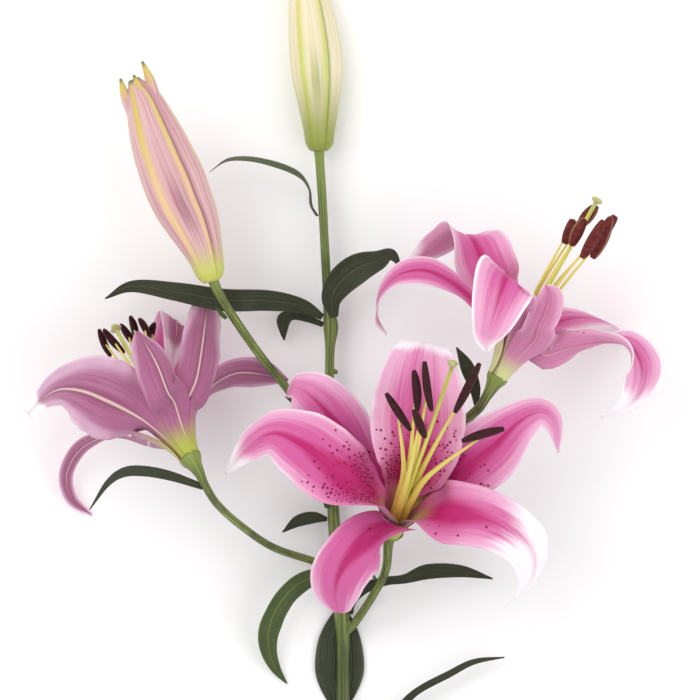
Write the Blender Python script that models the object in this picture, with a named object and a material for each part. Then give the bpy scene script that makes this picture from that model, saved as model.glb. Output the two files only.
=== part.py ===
"""A cut lily lying on a surface: one leafy stem with three open blooms and two buds.

Lengths in the tables below are in millimetres and become metres when a mesh is made.
+Y runs up the stem, +X to its right and +Z up from the surface.  The origin is the small
flat spot near the stem's cut end that the stem rests on.
"""

import math

import bmesh
import bpy
import numpy as np

MM = 0.001

# Driving sizes
TEPAL_THICKNESS = 1.0
LEAF_THICKNESS = 0.8
THINNEST_HALF = 0.5
STEM_SIDES = 8
STEM_RADIUS = 3.75
FLAT_HEIGHT = STEM_RADIUS * math.cos(math.pi / STEM_SIDES) - 0.02
FLAT_END = 12.0
FLAT_START = -28.0
CUT_END = -36.0
CUT_SLANT = 0.8
SNAP_HEIGHT = 0.1
FLATTEST_CUP = 0.01

# Mesh fineness
TEPAL_ROWS, TEPAL_CELLS = 14, 6
LEAF_ROWS, LEAF_CELLS, WIDE_LEAF_CELLS = 12, 2, 4
BRACT_ROWS = 4
WIDE_LEAVES = ("leaf_whorl_right", "leaf_under_stem", "leaf_lower_left")
STEM_ROWS, PEDICEL_ROWS, BUD_PEDICEL_ROWS = 34, 20, 14
RING_SIDES, ANTHER_SIDES, FILAMENT_SIDES, FILAMENT_ROWS = 12, 6, 5, 8
STYLE_SIDES, STYLE_ROWS = 6, 16
BUD_SIDES, BUD_ROWS = 12, 15
BUD_TIP_SIDES, BUD_TIP_ROWS = 6, 5

# A blade's face starts to turn at this share of its length, and its two edges are out
# of step in their waves.
TURN_START = 0.28
EDGE_STEP = 1.9
FULL_RUFFLE_HALF = 8.0

# The funnel that a bloom's tepals follow from the receptacle: height along the axis, then
# an inner and an outer tepal's distance from the axis, half-width and share of the
# funnel's roundness.
FUNNEL = (
    (0.9, {"inner": (4.1, 2.9, 1.0), "outer": (5.9, 3.4, 1.0)}),
    (8.0, {"inner": (5.1, 4.2, 1.0), "outer": (7.0, 5.0, 1.0)}),
    (18.0, {"inner": (8.1, 7.0, 1.0), "outer": (10.4, 7.0, 0.85)}),
    (30.0, {"inner": (13.1, 11.2, 1.0), "outer": (16.4, 9.0, 0.5)}),
)
# Depth below the tepals' roots, radius
RECEPTACLE = ((11.0, 3.0), (4.0, 4.4), (0.0, 6.4))

# Stamen ring: radius and height of each edge
RING = ((1.6, 0.5), (2.9, 0.5), (2.9, 3.0), (1.6, 3.0))
# Filament: height, distance from the axis and radius up to the bend.  The bend lies
# between its own point and the line from the root to the anther.
FILAMENT_ROOT = ((1.2, 2.25, 0.55), (16.0, 2.6, 0.6), (36.0, 3.6, 0.7))
FILAMENT_BEND = (62.0, 6.0, 0.65)
BEND_SHARE = 0.6
LINE_SHARE = 0.45
FILAMENT_TIP = 0.5
ANTHER_RADIUS = 2.2
# Share of an anther's length, share of its radius
SPINDLE = ((0.0, 0.35), (0.12, 0.85), (0.5, 1.0), (0.88, 0.85), (1.0, 0.35))
# Pistil: height and radius on the axis, then distance before the tip and radius
OVARY = ((0.5, 1.1), (6.0, 1.2), (24.0, 1.6), (45.0, 1.0))
STYLE_BEND = (75.0, 40.0, 0.95)
STYLE_TURN = 60.0
STIGMA = ((6.0, 1.1), (2.2, 3.0), (0.0, 2.6))

# Colour, roughness
MATERIALS = {
    "stem_green": ((0.20, 0.28, 0.08), 0.55),
    "leaf_green": ((0.07, 0.11, 0.03), 0.5),
    "tepal_pink": ((0.72, 0.20, 0.45), 0.6),
    "bud_cream": ((0.78, 0.74, 0.45), 0.6),
    "bud_pink": ((0.66, 0.40, 0.50), 0.6),
    "anther_brown": ((0.10, 0.02, 0.02), 0.8),
    "style_green": ((0.55, 0.60, 0.15), 0.5),
}

# Main stem above its flat spot: x, y, z, radius
MAIN_STEM = (
    (0.0, FLAT_END, FLAT_HEIGHT, STEM_RADIUS),
    (0.0, 32.0, 4.6, 3.75),
    (0.0, 58.0, 6.3, 3.7),
    (0.0, 81.0, 7.0, 3.7),
    (-0.8, 97.0, 7.6, 4.5),
    (-1.8, 112.0, 8.0, 3.6),
    (-4.4, 138.0, 9.0, 3.5),
    (-6.0, 165.0, 10.0, 3.3),
    (-7.2, 198.0, 11.3, 3.1),
    (-7.8, 226.0, 12.5, 2.7),
    (-7.5, 250.0, 13.6, 2.7),
    (-7.0, 263.0, 14.2, 4.2),
    (-8.6, 277.0, 14.6, 2.8),
    (-10.4, 307.0, 15.0, 2.5),
    (-12.4, 337.0, 15.2, 2.5),
    (-14.3, 358.0, 15.0, 2.9),
    (-15.0, 365.0, 14.8, 4.6),
)

# Pedicels, from inside the main stem to the receptacle: x, y, z, radius
PEDICELS = {
    "front": (
        (-0.4, 84.0, 7.2, 2.2),
        (6.5, 91.0, 9.5, 2.3),
        (17.0, 107.0, 17.5, 2.3),
        (24.5, 122.0, 28.0, 2.4),
    ),
    "left": (
        (-3.0, 121.5, 8.2, 2.0),
        (-16.0, 127.0, 14.0, 2.1),
        (-40.0, 135.7, 34.0, 2.1),
        (-58.6, 149.0, 59.0, 2.1),
        (-71.5, 161.5, 80.0, 2.2),
        (-78.5, 173.0, 92.0, 2.4),
    ),
    "right": (
        (-6.4, 176.0, 10.4, 2.4),
        (10.0, 186.0, 16.0, 2.5),
        (34.0, 193.0, 31.0, 2.6),
        (58.0, 201.0, 49.0, 2.7),
        (75.5, 214.0, 65.0, 2.8),
    ),
}
BUD_PEDICEL = (
    (-7.0, 189.0, 11.2, 2.0),
    (-17.5, 206.0, 20.0, 2.3),
    (-32.5, 227.5, 31.0, 2.3),
    (-48.5, 247.5, 41.0, 2.4),
    (-64.6, 271.0, 49.0, 2.5),
    (-72.5, 284.0, 53.0, 2.7),
    (-75.5, 289.0, 54.5, 4.0),
)
# Knobs where a leaf has dropped: root, head
KNOBS = (((-5.2, 236.0, 13.2), (-3.6, 238.0, 13.4)), ((0.5, 90.0, 8.5), (4.6, 92.5, 9.5)))
KNOB_RADIUS = 1.6

# Blooms: where the receptacle ends, the axis and the direction of azimuth 90 degrees.
# A tepal's free points are x, y, z, half-width, cup and turn; its ruffle is the edge's
# height, number of waves and phase; "looks" is where its inner face looks at its widest,
# or None where that follows from the curve.  A filament is its azimuth, the point that
# it carries and the anther's two ends.
BLOOMS = {
    "front": {
        "base": (28.4, 145, 46),
        "axis": (0.2, 0.55, 0.81),
        "up": (0, 1, 0),
        "tepals": {
            "top": {
                "whorl": "inner",
                "azimuth": 82,
                "free": ((42, 190, 80, 24, 34, 0), (44, 210, 92, 28.5, 26, 0),
                         (46, 231, 98, 27.5, 14, 0), (47.5, 245, 96, 23, 6, 0),
                         (48.5, 252, 90, 18, 0, 0), (48, 252, 82, 11, 0, 0), (47, 249, 76, 2, 0, 0)),
                "ruffle": (2.6, 2.5, 0.4),
                "looks": (0, -0.3, 1),
            },
            "left": {
                "whorl": "inner",
                "azimuth": 194,
                "free": ((8, 172, 87, 20, 36, 0), (-8, 184, 94, 22, 20, 0),
                         (-24, 195.5, 98, 21, 10, 0), (-39, 201, 95, 15.5, 5, 0),
                         (-53, 195, 88, 10, 0, 0), (-67, 179, 76, 1.2, 0, 0)),
                "ruffle": (2, 3, 1),
                "looks": (0.1, 0.2, 1),
            },
            "right_low": {
                "whorl": "inner",
                "azimuth": 320,
                "free": ((57, 156, 83, 19, 36, 0), (74, 155, 92, 18, 20, 0), (91, 149, 92, 16, 8, 0),
                         (105, 137, 84, 14, 0, 0), (108, 122, 70, 10.5, 0, 0), (101, 109, 56, 6, 0, 0),
                         (93, 102, 45, 1.2, 0, 0)),
                "ruffle": (1.6, 3, 2),
                "looks": (-0.1, 0.2, 1),
            },
            "left_high": {
                "whorl": "outer",
                "azimuth": 130,
                "free": ((10, 187, 66, 14, 24, 0), (-4, 207, 72, 19, 12, 0), (-17, 222, 75, 16, 6, 0),
                         (-27, 228, 71, 9, 0, 0), (-32, 224, 64, 2, 0, 0)),
                "ruffle": (1.2, 2, 0),
                "looks": (0.2, -0.1, 1),
            },
            "right_high": {
                "whorl": "outer",
                "azimuth": 22,
                "free": ((64, 179, 73, 17, 20, 0), (83, 194, 79, 17.5, 10, 0),
                         (101, 209, 82, 12, 5, 0), (113, 214, 80, 8, 0, 0),
                         (120.5, 207, 75, 6.5, 0, 0), (123, 191, 68, 1.5, 0, 0)),
                "ruffle": (1, 2, 0.6),
                "looks": (0, 0, 1),
            },
            "low": {
                "whorl": "outer",
                "azimuth": 248,
                "free": ((18, 144, 78, 18, 24, 0), (6.5, 134, 72, 18, 14, 0),
                         (-2, 121, 59, 16.5, 6, 0), (-4.5, 109, 45, 13.5, 0, 0),
                         (-3, 101, 35, 8, 0, 0), (-2, 98, 31, 3, 0, 0)),
                "ruffle": (1, 2, 2),
                "looks": (0, -0.3, 1),
            },
        },
        "filaments": (
            (160, (31, 214, 128), (24.4, 225, 131), (38.3, 204, 125)),
            (112, (41, 226, 133), (40, 238, 134), (42, 215, 131)),
            (215, (43, 208, 140), (40, 216, 142), (46.4, 200, 138)),
            (75, (48, 229, 137), (46, 243, 138), (50, 215, 135)),
            (35, (70, 228, 134), (77, 242, 135), (63, 214, 132)),
            (345, (79, 201, 130), (67, 198, 129), (91, 205, 130)),
        ),
        "stigma": (62.6, 243, 126),
    },
    "left": {
        "base": (-86, 187, 90),
        "axis": (-0.4415, 0.7225, -0.532),
        "up": (0, 0, 1),
        "tepals": {
            "wide": {
                "whorl": "inner",
                "azimuth": 40,
                "free": ((-119, 213, 80, 20, 32, 0), (-133, 220, 80, 25, 18, 0),
                         (-148, 227.5, 78, 22, 8, 0), (-161, 230, 72, 16, 0, 0),
                         (-172, 227, 66, 9, 0, 0), (-180, 218, 61, 2, 0, 0)),
                "ruffle": (2.4, 3, 0),
                "looks": (-0.1, 0.3, -1),
            },
            "near": {
                "whorl": "outer",
                "azimuth": 120,
                "free": ((-99, 226, 98, 12, 22, 0), (-103, 240, 96, 13, 14, 0),
                         (-109, 252, 91, 9, 6, 0), (-116, 260, 84, 1.5, 0, 0)),
                "ruffle": (0.8, 2, 0),
                "looks": (-0.4, 0, -0.9),
            },
            "upright": {
                "whorl": "inner",
                "azimuth": 162,
                "free": ((-84, 232, 72, 12.5, 30, 0), (-81.5, 247, 58, 12.5, 18, 0),
                         (-80, 260, 44, 11.5, 10, 0), (-79, 269, 32, 10.5, 4, 0),
                         (-78, 276, 24, 7, 0, 0)),
                "ruffle": (1.8, 2.5, 1),
                "looks": (-0.4, -0.2, -0.9),
            },
            "right": {
                "whorl": "outer",
                "azimuth": 226,
                "free": ((-76, 212, 50, 10, 20, 0), (-70, 228, 42, 10.5, 12, 0),
                         (-60, 236.5, 34, 10.5, 8, 0), (-46, 235.5, 27, 8.5, 0, 0),
                         (-32, 231.5, 21, 1.5, 0, 0)),
                "ruffle": (1, 2, 1),
                "looks": (0.1, 0.4, -0.9),
            },
            "far": {
                "whorl": "inner",
                "azimuth": 278,
                "free": ((-99, 210, 45, 19, 30, 0), (-101, 224, 26, 22, 22, 0),
                         (-102, 240, 12, 18, 14, 0), (-99, 253, 7.5, 13, 6, 0),
                         (-94.5, 263, 6.5, 2, 0, 0)),
                "ruffle": (2, 2.5, 2),
                "looks": (-0.2, 0.3, 0.9),
            },
            "low": {
                "whorl": "outer",
                "azimuth": 335,
                "free": ((-112, 195, 55, 11, 20, 0), (-125, 199, 46, 8, 10, 0),
                         (-140, 199, 36, 6.8, 8, 0), (-153, 191, 26, 5.8, 6, 0),
                         (-160, 177, 16, 4.6, 4, 0), (-157, 163, 8, 3.4, 0, 0),
                         (-146, 154, 2.6, 1.2, 0, 0)),
                "ruffle": (0.8, 2, 0),
                "looks": None,
            },
        },
        "filaments": (
            (20, (-137, 253.5, 38), (-140, 261, 44), (-134, 246, 31)),
            (70, (-131.6, 254.5, 46), (-137, 261, 54), (-126, 248, 38)),
            (200, (-120.6, 262, 34), (-122, 268.5, 43), (-119.5, 256, 24)),
            (150, (-114, 262, 40), (-116.6, 267, 51), (-112, 258, 30)),
            (240, (-110, 260, 26), (-108.5, 264.5, 37), (-111, 256, 16)),
            (310, (-124, 258, 17), (-128, 264, 24), (-120, 252, 10)),
        ),
        "stigma": (-131.7, 263, 30),
    },
    "right": {
        "base": (87.6, 233, 76),
        "axis": (0.49, 0.87, 0),
        "up": (0, 0, 1),
        "tepals": {
            "left": {
                "whorl": "outer",
                "azimuth": 6,
                "free": ((79, 271, 86, 6.5, 14, 0), (69, 282, 85, 6.5, 14, 0),
                         (59, 291, 82, 6.5, 14, 0), (46, 296.5, 77, 6.8, 14, 0),
                         (32, 293, 70, 6.6, 14, -25), (22, 281, 63, 6, 14, -50),
                         (19.5, 267, 58, 5, 10, -65), (25, 258, 55, 1, 0, -65)),
                "ruffle": (0.8, 3, 0),
                "looks": (-0.35, 0.35, 0.87),
            },
            "near": {
                "whorl": "inner",
                "azimuth": 58,
                "free": ((97, 276, 97, 13, 25, 0), (96, 287, 105, 18, 16, 0), (93, 290, 112, 19, 8, 0),
                         (89, 280, 117.5, 16.5, 4, 0), (84.5, 267, 118.5, 11.6, 0, 0),
                         (81, 255, 116, 6.5, 0, 0), (81.5, 248, 113, 1.2, 0, 0)),
                "ruffle": (2, 2.5, 1),
                "looks": None,
            },
            "side": {
                "whorl": "outer",
                "azimuth": 116,
                "free": ((112.5, 261, 102, 6.5, 14, 0), (117, 270.5, 101.5, 7.5, 12, 0),
                         (118, 280, 104.5, 7.5, 8, 0), (115.5, 286, 109, 2, 0, 0)),
                "ruffle": (0.8, 2, 0.5),
                "looks": None,
            },
            "long": {
                "whorl": "inner",
                "azimuth": 165,
                "free": ((119, 247, 79.5, 10, 40, 0), (134, 250.5, 82.5, 13.5, 52, 0),
                         (151, 253.5, 82, 14, 42, 0), (164, 250, 77, 12.5, 15, -40),
                         (170, 237, 71, 12, 5, -80), (167, 224, 65, 9.5, 0, -80),
                         (157, 215, 61, 6, 0, -80), (146, 211, 58, 1.2, 0, -80)),
                "ruffle": (1.6, 3, 0),
                "looks": (-0.1, 1, 0.25),
            },
            "under": {
                "whorl": "outer",
                "azimuth": 238,
                "free": ((118, 262, 46, 12, 20, 0), (131, 267, 36, 14, 12, 0),
                         (145, 267, 22, 12, 8, 0), (158, 262, 10, 9, 5, 0), (170, 255, 3, 2, 0, 0)),
                "ruffle": (0.8, 2, 1),
                "looks": None,
            },
            "upper": {
                "whorl": "inner",
                "azimuth": 293,
                "free": ((91, 276, 56, 14, 25, 0), (86, 288, 61, 17, 16, 0),
                         (80.5, 300, 62, 18.5, 12, 5), (76, 310, 59, 18, 6, 25),
                         (69, 315, 52, 14, 0, 60), (57, 313.5, 45, 10.5, 0, 90),
                         (44, 306, 41, 6.5, 0, 100), (36, 299, 40, 1.2, 0, 100)),
                "ruffle": (2.8, 3, 2),
                "looks": (0, 0, 1),
            },
        },
        "filaments": (
            (20, (128.5, 317, 78), (131, 324, 78), (126, 310, 78)),
            (330, (139, 326, 68), (145, 332, 68), (135, 320, 67)),
            (70, (133.8, 316, 90), (137.5, 324, 91), (130, 308.6, 89)),
            (120, (141.8, 312, 97), (148, 323, 98), (135.7, 301.6, 96)),
            (170, (147.5, 313, 85), (152.5, 325, 86), (142, 301.6, 84)),
            (260, (150, 318, 66), (156, 326, 66), (144, 310, 65)),
        ),
        "stigma": (145.6, 336, 80),
    },
}

# Leaves and bracts: x, y, z, half-width, cup and turn; the direction of the upper face at
# the root; and the edge's ruffle.
LEAVES = {
    "leaf_top": {
        "controls": ((-15, 327, 16.2, 1.2, 0, 0), (-18.2, 333, 20, 2, 10, 20),
                     (-19, 341, 22, 3, 15, 40), (-23, 349, 25, 3.8, 15, 50), (-31, 354, 28, 4, 15, 50),
                     (-43, 358, 30, 4, 15, 50), (-55, 360, 30, 3.5, 15, 50),
                     (-67, 359, 27, 2.4, 10, 50), (-77, 352, 23, 0.4, 0, 50)),
        "upper_face": (-0.7, 0.2, 0.7),
        "ruffle": (0.3, 2, 0),
    },
    "leaf_whorl_left": {
        "controls": ((-12, 268.5, 16.5, 1.8, 10, 0), (-24, 275, 24, 4.2, 20, 0),
                     (-43, 278, 31, 6.2, 20, 0), (-70, 278.5, 36, 6.6, 15, 0),
                     (-96, 283, 38, 5.5, 12, 0), (-121, 286, 37, 3.4, 5, 0), (-137, 279, 32, 0.4, 0, 0)),
        "upper_face": (0, 0, 1),
        "ruffle": (0.6, 2.5, 0),
    },
    "leaf_whorl_small": {
        "controls": ((-11.5, 264, 12, 1.5, 0, 0), (-20, 267, 12.5, 3, 10, 0),
                     (-29, 268, 12.5, 4, 10, 0), (-34, 263, 12, 3.4, 10, 0), (-32, 255, 10, 0.4, 0, 0)),
        "upper_face": (0, 0, 1),
        "ruffle": (0.3, 2, 0),
    },
    "leaf_whorl_right": {
        "controls": ((-5, 268.5, 19, 2.2, 15, 0), (-6.5, 279, 25, 6, 25, 10),
                     (-1, 289, 31, 8.5, 25, 15), (9, 297, 36, 9, 20, 15), (20, 301, 37, 6.5, 15, 5),
                     (28, 304, 33, 3.5, 5, 0), (33.6, 297, 27, 0.4, 0, 0)),
        "upper_face": (0, -0.3, 1),
        "ruffle": (0.5, 2, 1),
    },
    "bract_bud": {
        "controls": ((-66.8, 267.5, 48.6, 1, 0, 0), (-69.5, 270, 49, 1.4, 20, 0),
                     (-73, 274, 48, 0.4, 0, 0)),
        "upper_face": (-0.5, 0.3, 0.8),
        "ruffle": (0, 1, 0),
    },
    "bract_bud_root": {
        "controls": ((-20.6, 212.5, 26.5, 1.4, 0, 0), (-27, 219, 32.5, 2.4, 20, 0),
                     (-33, 222.5, 35.5, 0.4, 0, 0)),
        "upper_face": (-0.4, -0.2, 0.9),
        "ruffle": (0, 1, 0),
    },
    "leaf_left_bloom": {
        "controls": ((-82.6, 172, 93.8, 1.5, 10, 0), (-98.6, 178, 92, 2.8, 15, 10),
                     (-113.7, 180.5, 86, 3.1, 15, 10), (-125, 179.5, 78, 3, 15, 10),
                     (-134.5, 173, 70, 2.2, 10, 10), (-145, 158, 60, 0.4, 0, 10)),
        "upper_face": (0, 0.3, 1),
        "ruffle": (0.3, 2, 0),
    },
    "leaf_lower_left": {
        "controls": ((-4.8, 117, 11.6, 2, 10, 0), (-17, 118.5, 18, 5.5, 20, 0),
                     (-29, 112, 22, 7.5, 20, 0), (-38, 101, 22, 7.8, 18, 0), (-43, 88, 18, 7, 15, 0),
                     (-43, 76, 12, 5.2, 12, 0), (-39, 65, 6, 3, 8, 0), (-32.5, 56, 2, 0.4, 0, 0)),
        "upper_face": (0.2, -0.4, 1),
        "ruffle": (0.8, 2, 0.5),
    },
    "leaf_under_stem": {
        "controls": ((-1, 99, 2.4, 3.5, 0, 0), (-1.5, 88, 1.6, 10, 8, 0), (-2, 76, 1.1, 13.5, 10, 0),
                     (-2, 62, 0.9, 14, 10, 0), (-2, 49, 0.8, 9, 8, 0), (-2, 38, 0.6, 0.6, 0, 0)),
        "upper_face": (0, 0, 1),
        "ruffle": (0, 2, 0),
    },
    "leaf_mid_left": {
        "controls": ((-9.2, 151.5, 9.6, 1.2, 0, 0), (-17, 152.5, 12, 3.4, 15, 0),
                     (-26, 150.5, 13.5, 3.4, 15, 0), (-35, 144, 12, 0.4, 0, 0)),
        "upper_face": (0, 0, 1),
        "ruffle": (0.3, 2, 0),
    },
    "bract_mid": {
        "controls": ((-9, 158, 12.5, 1.5, 0, 0), (-9.5, 162, 14.5, 2, 20, 0),
                     (-9.5, 167, 15.5, 0.4, 0, 0)),
        "upper_face": (-0.3, 0, 1),
        "ruffle": (0, 1, 0),
    },
    "leaf_right_bloom": {
        "controls": ((76.3, 217.3, 63.4, 1.2, 0, 0), (75.5, 228, 61, 3.4, 15, 0),
                     (71, 240, 60, 4, 15, 0), (65, 251, 58, 0.4, 0, 0)),
        "upper_face": (-0.3, 0, 1),
        "ruffle": (0.3, 2, 0),
    },
    "leaf_front_pedicel": {
        "controls": ((4.7, 96.5, 8.6, 1.2, 0, 0), (5.5, 104, 9.2, 2.6, 15, -10),
                     (12, 111.5, 11.5, 3.4, 20, -30), (24, 116, 15.5, 3.2, 25, -50),
                     (36, 117.5, 21, 3, 20, -40), (49, 121.5, 25, 4.4, 15, -10),
                     (68, 121.8, 27, 3.6, 10, 0), (86.5, 117.5, 25, 0.4, 0, 0)),
        "upper_face": (-0.5, 0.2, 0.8),
        "ruffle": (0.4, 2, 0),
    },
    "bract_front_pedicel": {
        "controls": ((19.3, 116.6, 25, 0.9, 0, 0), (16.5, 121.5, 29.5, 1.3, 20, 0),
                     (17.5, 127, 31, 0.4, 0, 0)),
        "upper_face": (-0.5, 0, 0.8),
        "ruffle": (0, 1, 0),
    },
    "leaf_low_right": {
        "controls": ((4.8, 9, 3.6, 1.2, 0, 0), (15, 20, 7, 3, 10, 0), (30, 38, 9, 3, 15, 20),
                     (42, 51, 10.5, 2.6, 15, 40), (61, 61.5, 12, 2.6, 15, 45), (76, 69, 11, 2, 10, 40),
                     (93.5, 71.5, 8, 0.4, 0, 30)),
        "upper_face": (0, 0, 1),
        "ruffle": (0.3, 2, 0),
    },
}

# Buds: root, tip, and half the thickness at even steps from root to tip.
BUDS = {
    "bud_top": {
        "root": (-15.05, 365.5, 14.5),
        "tip": (-22.0, 474.0, 12.8),
        "halves": (5.2, 8.6, 11.3, 13.2, 14.2, 14.3, 13.6, 12.4, 10.6, 7.6, 2.0),
        "material": "bud_cream",
    },
    "bud_left": {
        "root": (-76.4, 290.6, 55.2),
        "tip": (-121.0, 404.0, 62.0),
        "halves": (5.6, 9.6, 12.8, 15.4, 16.8, 17.2, 16.4, 14.6, 11.8, 8.2, 4.0),
        "material": "bud_pink",
    },
}
BUD_LOBE = 0.05
# Free tips of the opening bud: side and up offset at the root, then the tip's point
BUD_TIPS = (
    ((-2.6, 0.5), (-127.0, 405.5, 62.0)),
    ((3.4, 0.5), (-114.3, 414.3, 62.0)),
    ((0.0, -2.0), (-120.6, 409.0, 58.0)),
)
BUD_TIP_DEPTH = 14.0
BUD_TIP_RADII = (3.4, 2.6, 0.8)


def clear_scene():
    """Remove every object that the file starts with."""
    for item in list(bpy.data.objects):
        bpy.data.objects.remove(item, do_unlink=True)


def finish_material(name):
    """Return the Principled material of one colour."""
    material = bpy.data.materials.get(name)
    if material is None:
        colour, roughness = MATERIALS[name]
        material = bpy.data.materials.new(name)
        material.use_nodes = True
        shader = material.node_tree.nodes["Principled BSDF"]
        shader.inputs["Base Color"].default_value = (*colour, 1.0)
        shader.inputs["Roughness"].default_value = roughness
        shader.inputs["Metallic"].default_value = 0.0
    return material


def curve_rows(controls, count):
    """Return evenly spaced rows on a smooth curve through the control rows.

    The first three columns are the place, and any others are carried along with it.
    """
    controls = np.array(controls, dtype=float)
    ends = np.vstack([2 * controls[0] - controls[1], controls, 2 * controls[-1] - controls[-2]])
    fine = []
    for before, start, end, after in zip(ends, ends[1:], ends[2:], ends[3:]):
        for t in np.arange(0.0, 1.0, 0.05):
            fine.append(0.5 * (2 * start + (end - before) * t
                               + (2 * before - 5 * start + 4 * end - after) * t ** 2
                               + (3 * start - before - 3 * end + after) * t ** 3))
    fine = np.array(fine + [controls[-1]])
    steps = np.linalg.norm(np.diff(fine[:, :3], axis=0), axis=1)
    length = np.concatenate([[0.0], np.cumsum(steps)])
    wanted = np.linspace(0.0, length[-1], count)
    return np.column_stack([np.interp(wanted, length, column) for column in fine.T])


def frames_along(places, first_normal):
    """Return the side and normal at each place, carried along without twist."""
    tangents = np.gradient(places, axis=0)
    tangents /= np.linalg.norm(tangents, axis=1)[:, None]
    normal = np.array(first_normal, dtype=float)
    frames = []
    for tangent in tangents:
        normal = normal - tangent * normal.dot(tangent)
        normal /= np.linalg.norm(normal)
        frames.append((np.cross(tangent, normal), normal))
    return frames


def mesh_object(name, points, faces, material):
    """Make an object of a mesh in millimetres, with its faces turned outwards."""
    mesh = bpy.data.meshes.new(name)
    mesh.from_pydata([tuple(MM * c for c in point) for point in points], [], faces)
    shape = bmesh.new()
    shape.from_mesh(mesh)
    bmesh.ops.recalc_face_normals(shape, faces=shape.faces)
    shape.to_mesh(mesh)
    shape.free()
    mesh.materials.append(finish_material(material))
    item = bpy.data.objects.new(name, mesh)
    bpy.context.scene.collection.objects.link(item)
    return item


def facing_turns(table, frames, looks):
    """Return the turn of each row that makes the widest one's face look in a direction."""
    rows = len(table)
    if looks is None:
        return [0.0] * rows
    widest = int(np.argmax(table[:, 3]))
    side, normal = frames[widest]
    full = math.atan2(-np.dot(looks, side), np.dot(looks, normal))
    start = int(rows * TURN_START)
    span = max(widest - start, 1)
    ramp = [min(max((row - start) / span, 0.0), 1.0) for row in range(rows)]
    return [full * step * step * (3.0 - 2.0 * step) for step in ramp]


def blade(name, controls, first_normal, ruffle, fineness, thickness, material, looks=None):
    """Make a leaf or tepal: a cupped and ruffled sheet, split into triangles, then thickened.

    controls: rows of x, y, z, half-width, cup angle and turn of the face, in degrees.
    """
    rows, cells = fineness
    table = curve_rows(controls, rows)
    frames = frames_along(table[:, :3], first_normal)
    turns = facing_turns(table, frames, looks)
    height, waves, phase = ruffle
    points = []
    for row, (side, normal) in enumerate(frames):
        along = row / (rows - 1)
        half = max(table[row, 3], THINNEST_HALF)
        cup = max(math.radians(table[row, 4]), FLATTEST_CUP)
        turn = math.radians(table[row, 5]) + turns[row]
        across_dir = side * math.cos(turn) + normal * math.sin(turn)
        face_dir = normal * math.cos(turn) - side * math.sin(turn)
        free = math.sin(math.pi * along) * min(1.0, half / FULL_RUFFLE_HALF)
        for step in range(cells + 1):
            u = 2.0 * step / cells - 1.0
            across = half / cup * math.sin(u * cup)
            lift = half / cup * (1.0 - math.cos(u * cup))
            edge = EDGE_STEP if u > 0 else 0.0
            wave = math.sin(2 * math.pi * waves * along + phase + edge)
            lift += height * wave * u * u * free
            points.append(table[row, :3] + across_dir * across + face_dir * lift)
    item = mesh_object(name, points, sheet_faces(rows, cells), material)
    wall = item.modifiers.new("wall", "SOLIDIFY")
    wall.thickness = thickness * MM
    wall.offset = 0.0
    wall.use_even_offset = False
    return item


def sheet_faces(rows, cells):
    """Return the triangles of a sheet, with its diagonals mirrored about the midrib."""
    width = cells + 1
    faces = []
    for row in range(rows - 1):
        for step in range(cells):
            a = row * width + step
            b, c, d = a + 1, a + width + 1, a + width
            if step < cells / 2:
                faces += [(a, b, c), (a, c, d)]
            else:
                faces += [(a, b, d), (b, c, d)]
    return faces


def tube_mesh(places, radii, first_normal, sides, lobe=0.0):
    """Return the points and faces of a closed tube whose first flat side faces down."""
    frames = frames_along(places, first_normal)
    points, faces = [], []
    for place, radius, (side, normal) in zip(places, radii, frames):
        for step in range(sides):
            angle = 2 * math.pi * (step + 0.5) / sides
            reach = radius * (1.0 + lobe * math.cos(3 * angle))
            around = normal * math.cos(angle) + side * math.sin(angle)
            points.append(place + around * reach)
    for ring in range(len(places) - 1):
        for step in range(sides):
            a, b = ring * sides + step, ring * sides + (step + 1) % sides
            faces.append((a, b, b + sides, a + sides))
    last = (len(places) - 1) * sides
    faces += [tuple(range(sides)), tuple(range(last, last + sides))]
    return points, faces


def tube(name, controls, fineness, material, first_normal=(0.0, 0.0, 1.0), lobe=0.0):
    """Make a closed tube along a smooth curve; controls are rows of x, y, z, radius."""
    rows, sides = fineness
    table = curve_rows(controls, rows)
    points, faces = tube_mesh(table[:, :3], table[:, 3], first_normal, sides, lobe)
    return mesh_object(name, points, faces, material)


def fused(name, pieces):
    """Join pieces into one closed body, keep the first one's object, and name it."""
    keeper, others = pieces[0], pieces[1:]
    group = bpy.data.collections.new(name + "_pieces")
    bpy.context.scene.collection.children.link(group)
    for item in others:
        group.objects.link(item)
    union = keeper.modifiers.new("union", "BOOLEAN")
    union.operation = "UNION"
    union.operand_type = "COLLECTION"
    union.collection = group
    union.solver = "EXACT"
    union.material_mode = "TRANSFER"
    bpy.context.view_layer.update()
    evaluated = keeper.evaluated_get(bpy.context.evaluated_depsgraph_get())
    mesh = bpy.data.meshes.new_from_object(evaluated)
    keeper.modifiers.clear()
    keeper.data = mesh
    for item in others:
        bpy.data.objects.remove(item, do_unlink=True)
    bpy.data.collections.remove(group)
    keeper.name = name
    mesh.name = name
    return keeper


class BloomFrame:
    """The axis of a bloom and points around it."""

    def __init__(self, bloom):
        self.base = np.array(bloom["base"])
        self.axis = np.array(bloom["axis"]) / np.linalg.norm(bloom["axis"])
        up = np.array(bloom["up"])
        up = up - self.axis * up.dot(self.axis)
        self.up = up / np.linalg.norm(up)
        self.right = np.cross(self.up, self.axis)

    def radial(self, azimuth):
        """Return the direction away from the axis at an azimuth in degrees."""
        angle = math.radians(azimuth)
        return self.right * math.cos(angle) + self.up * math.sin(angle)

    def point(self, azimuth, height, radius):
        """Return the point at a height along the axis and a distance from it."""
        return self.base + self.axis * height + self.radial(azimuth) * radius


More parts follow.
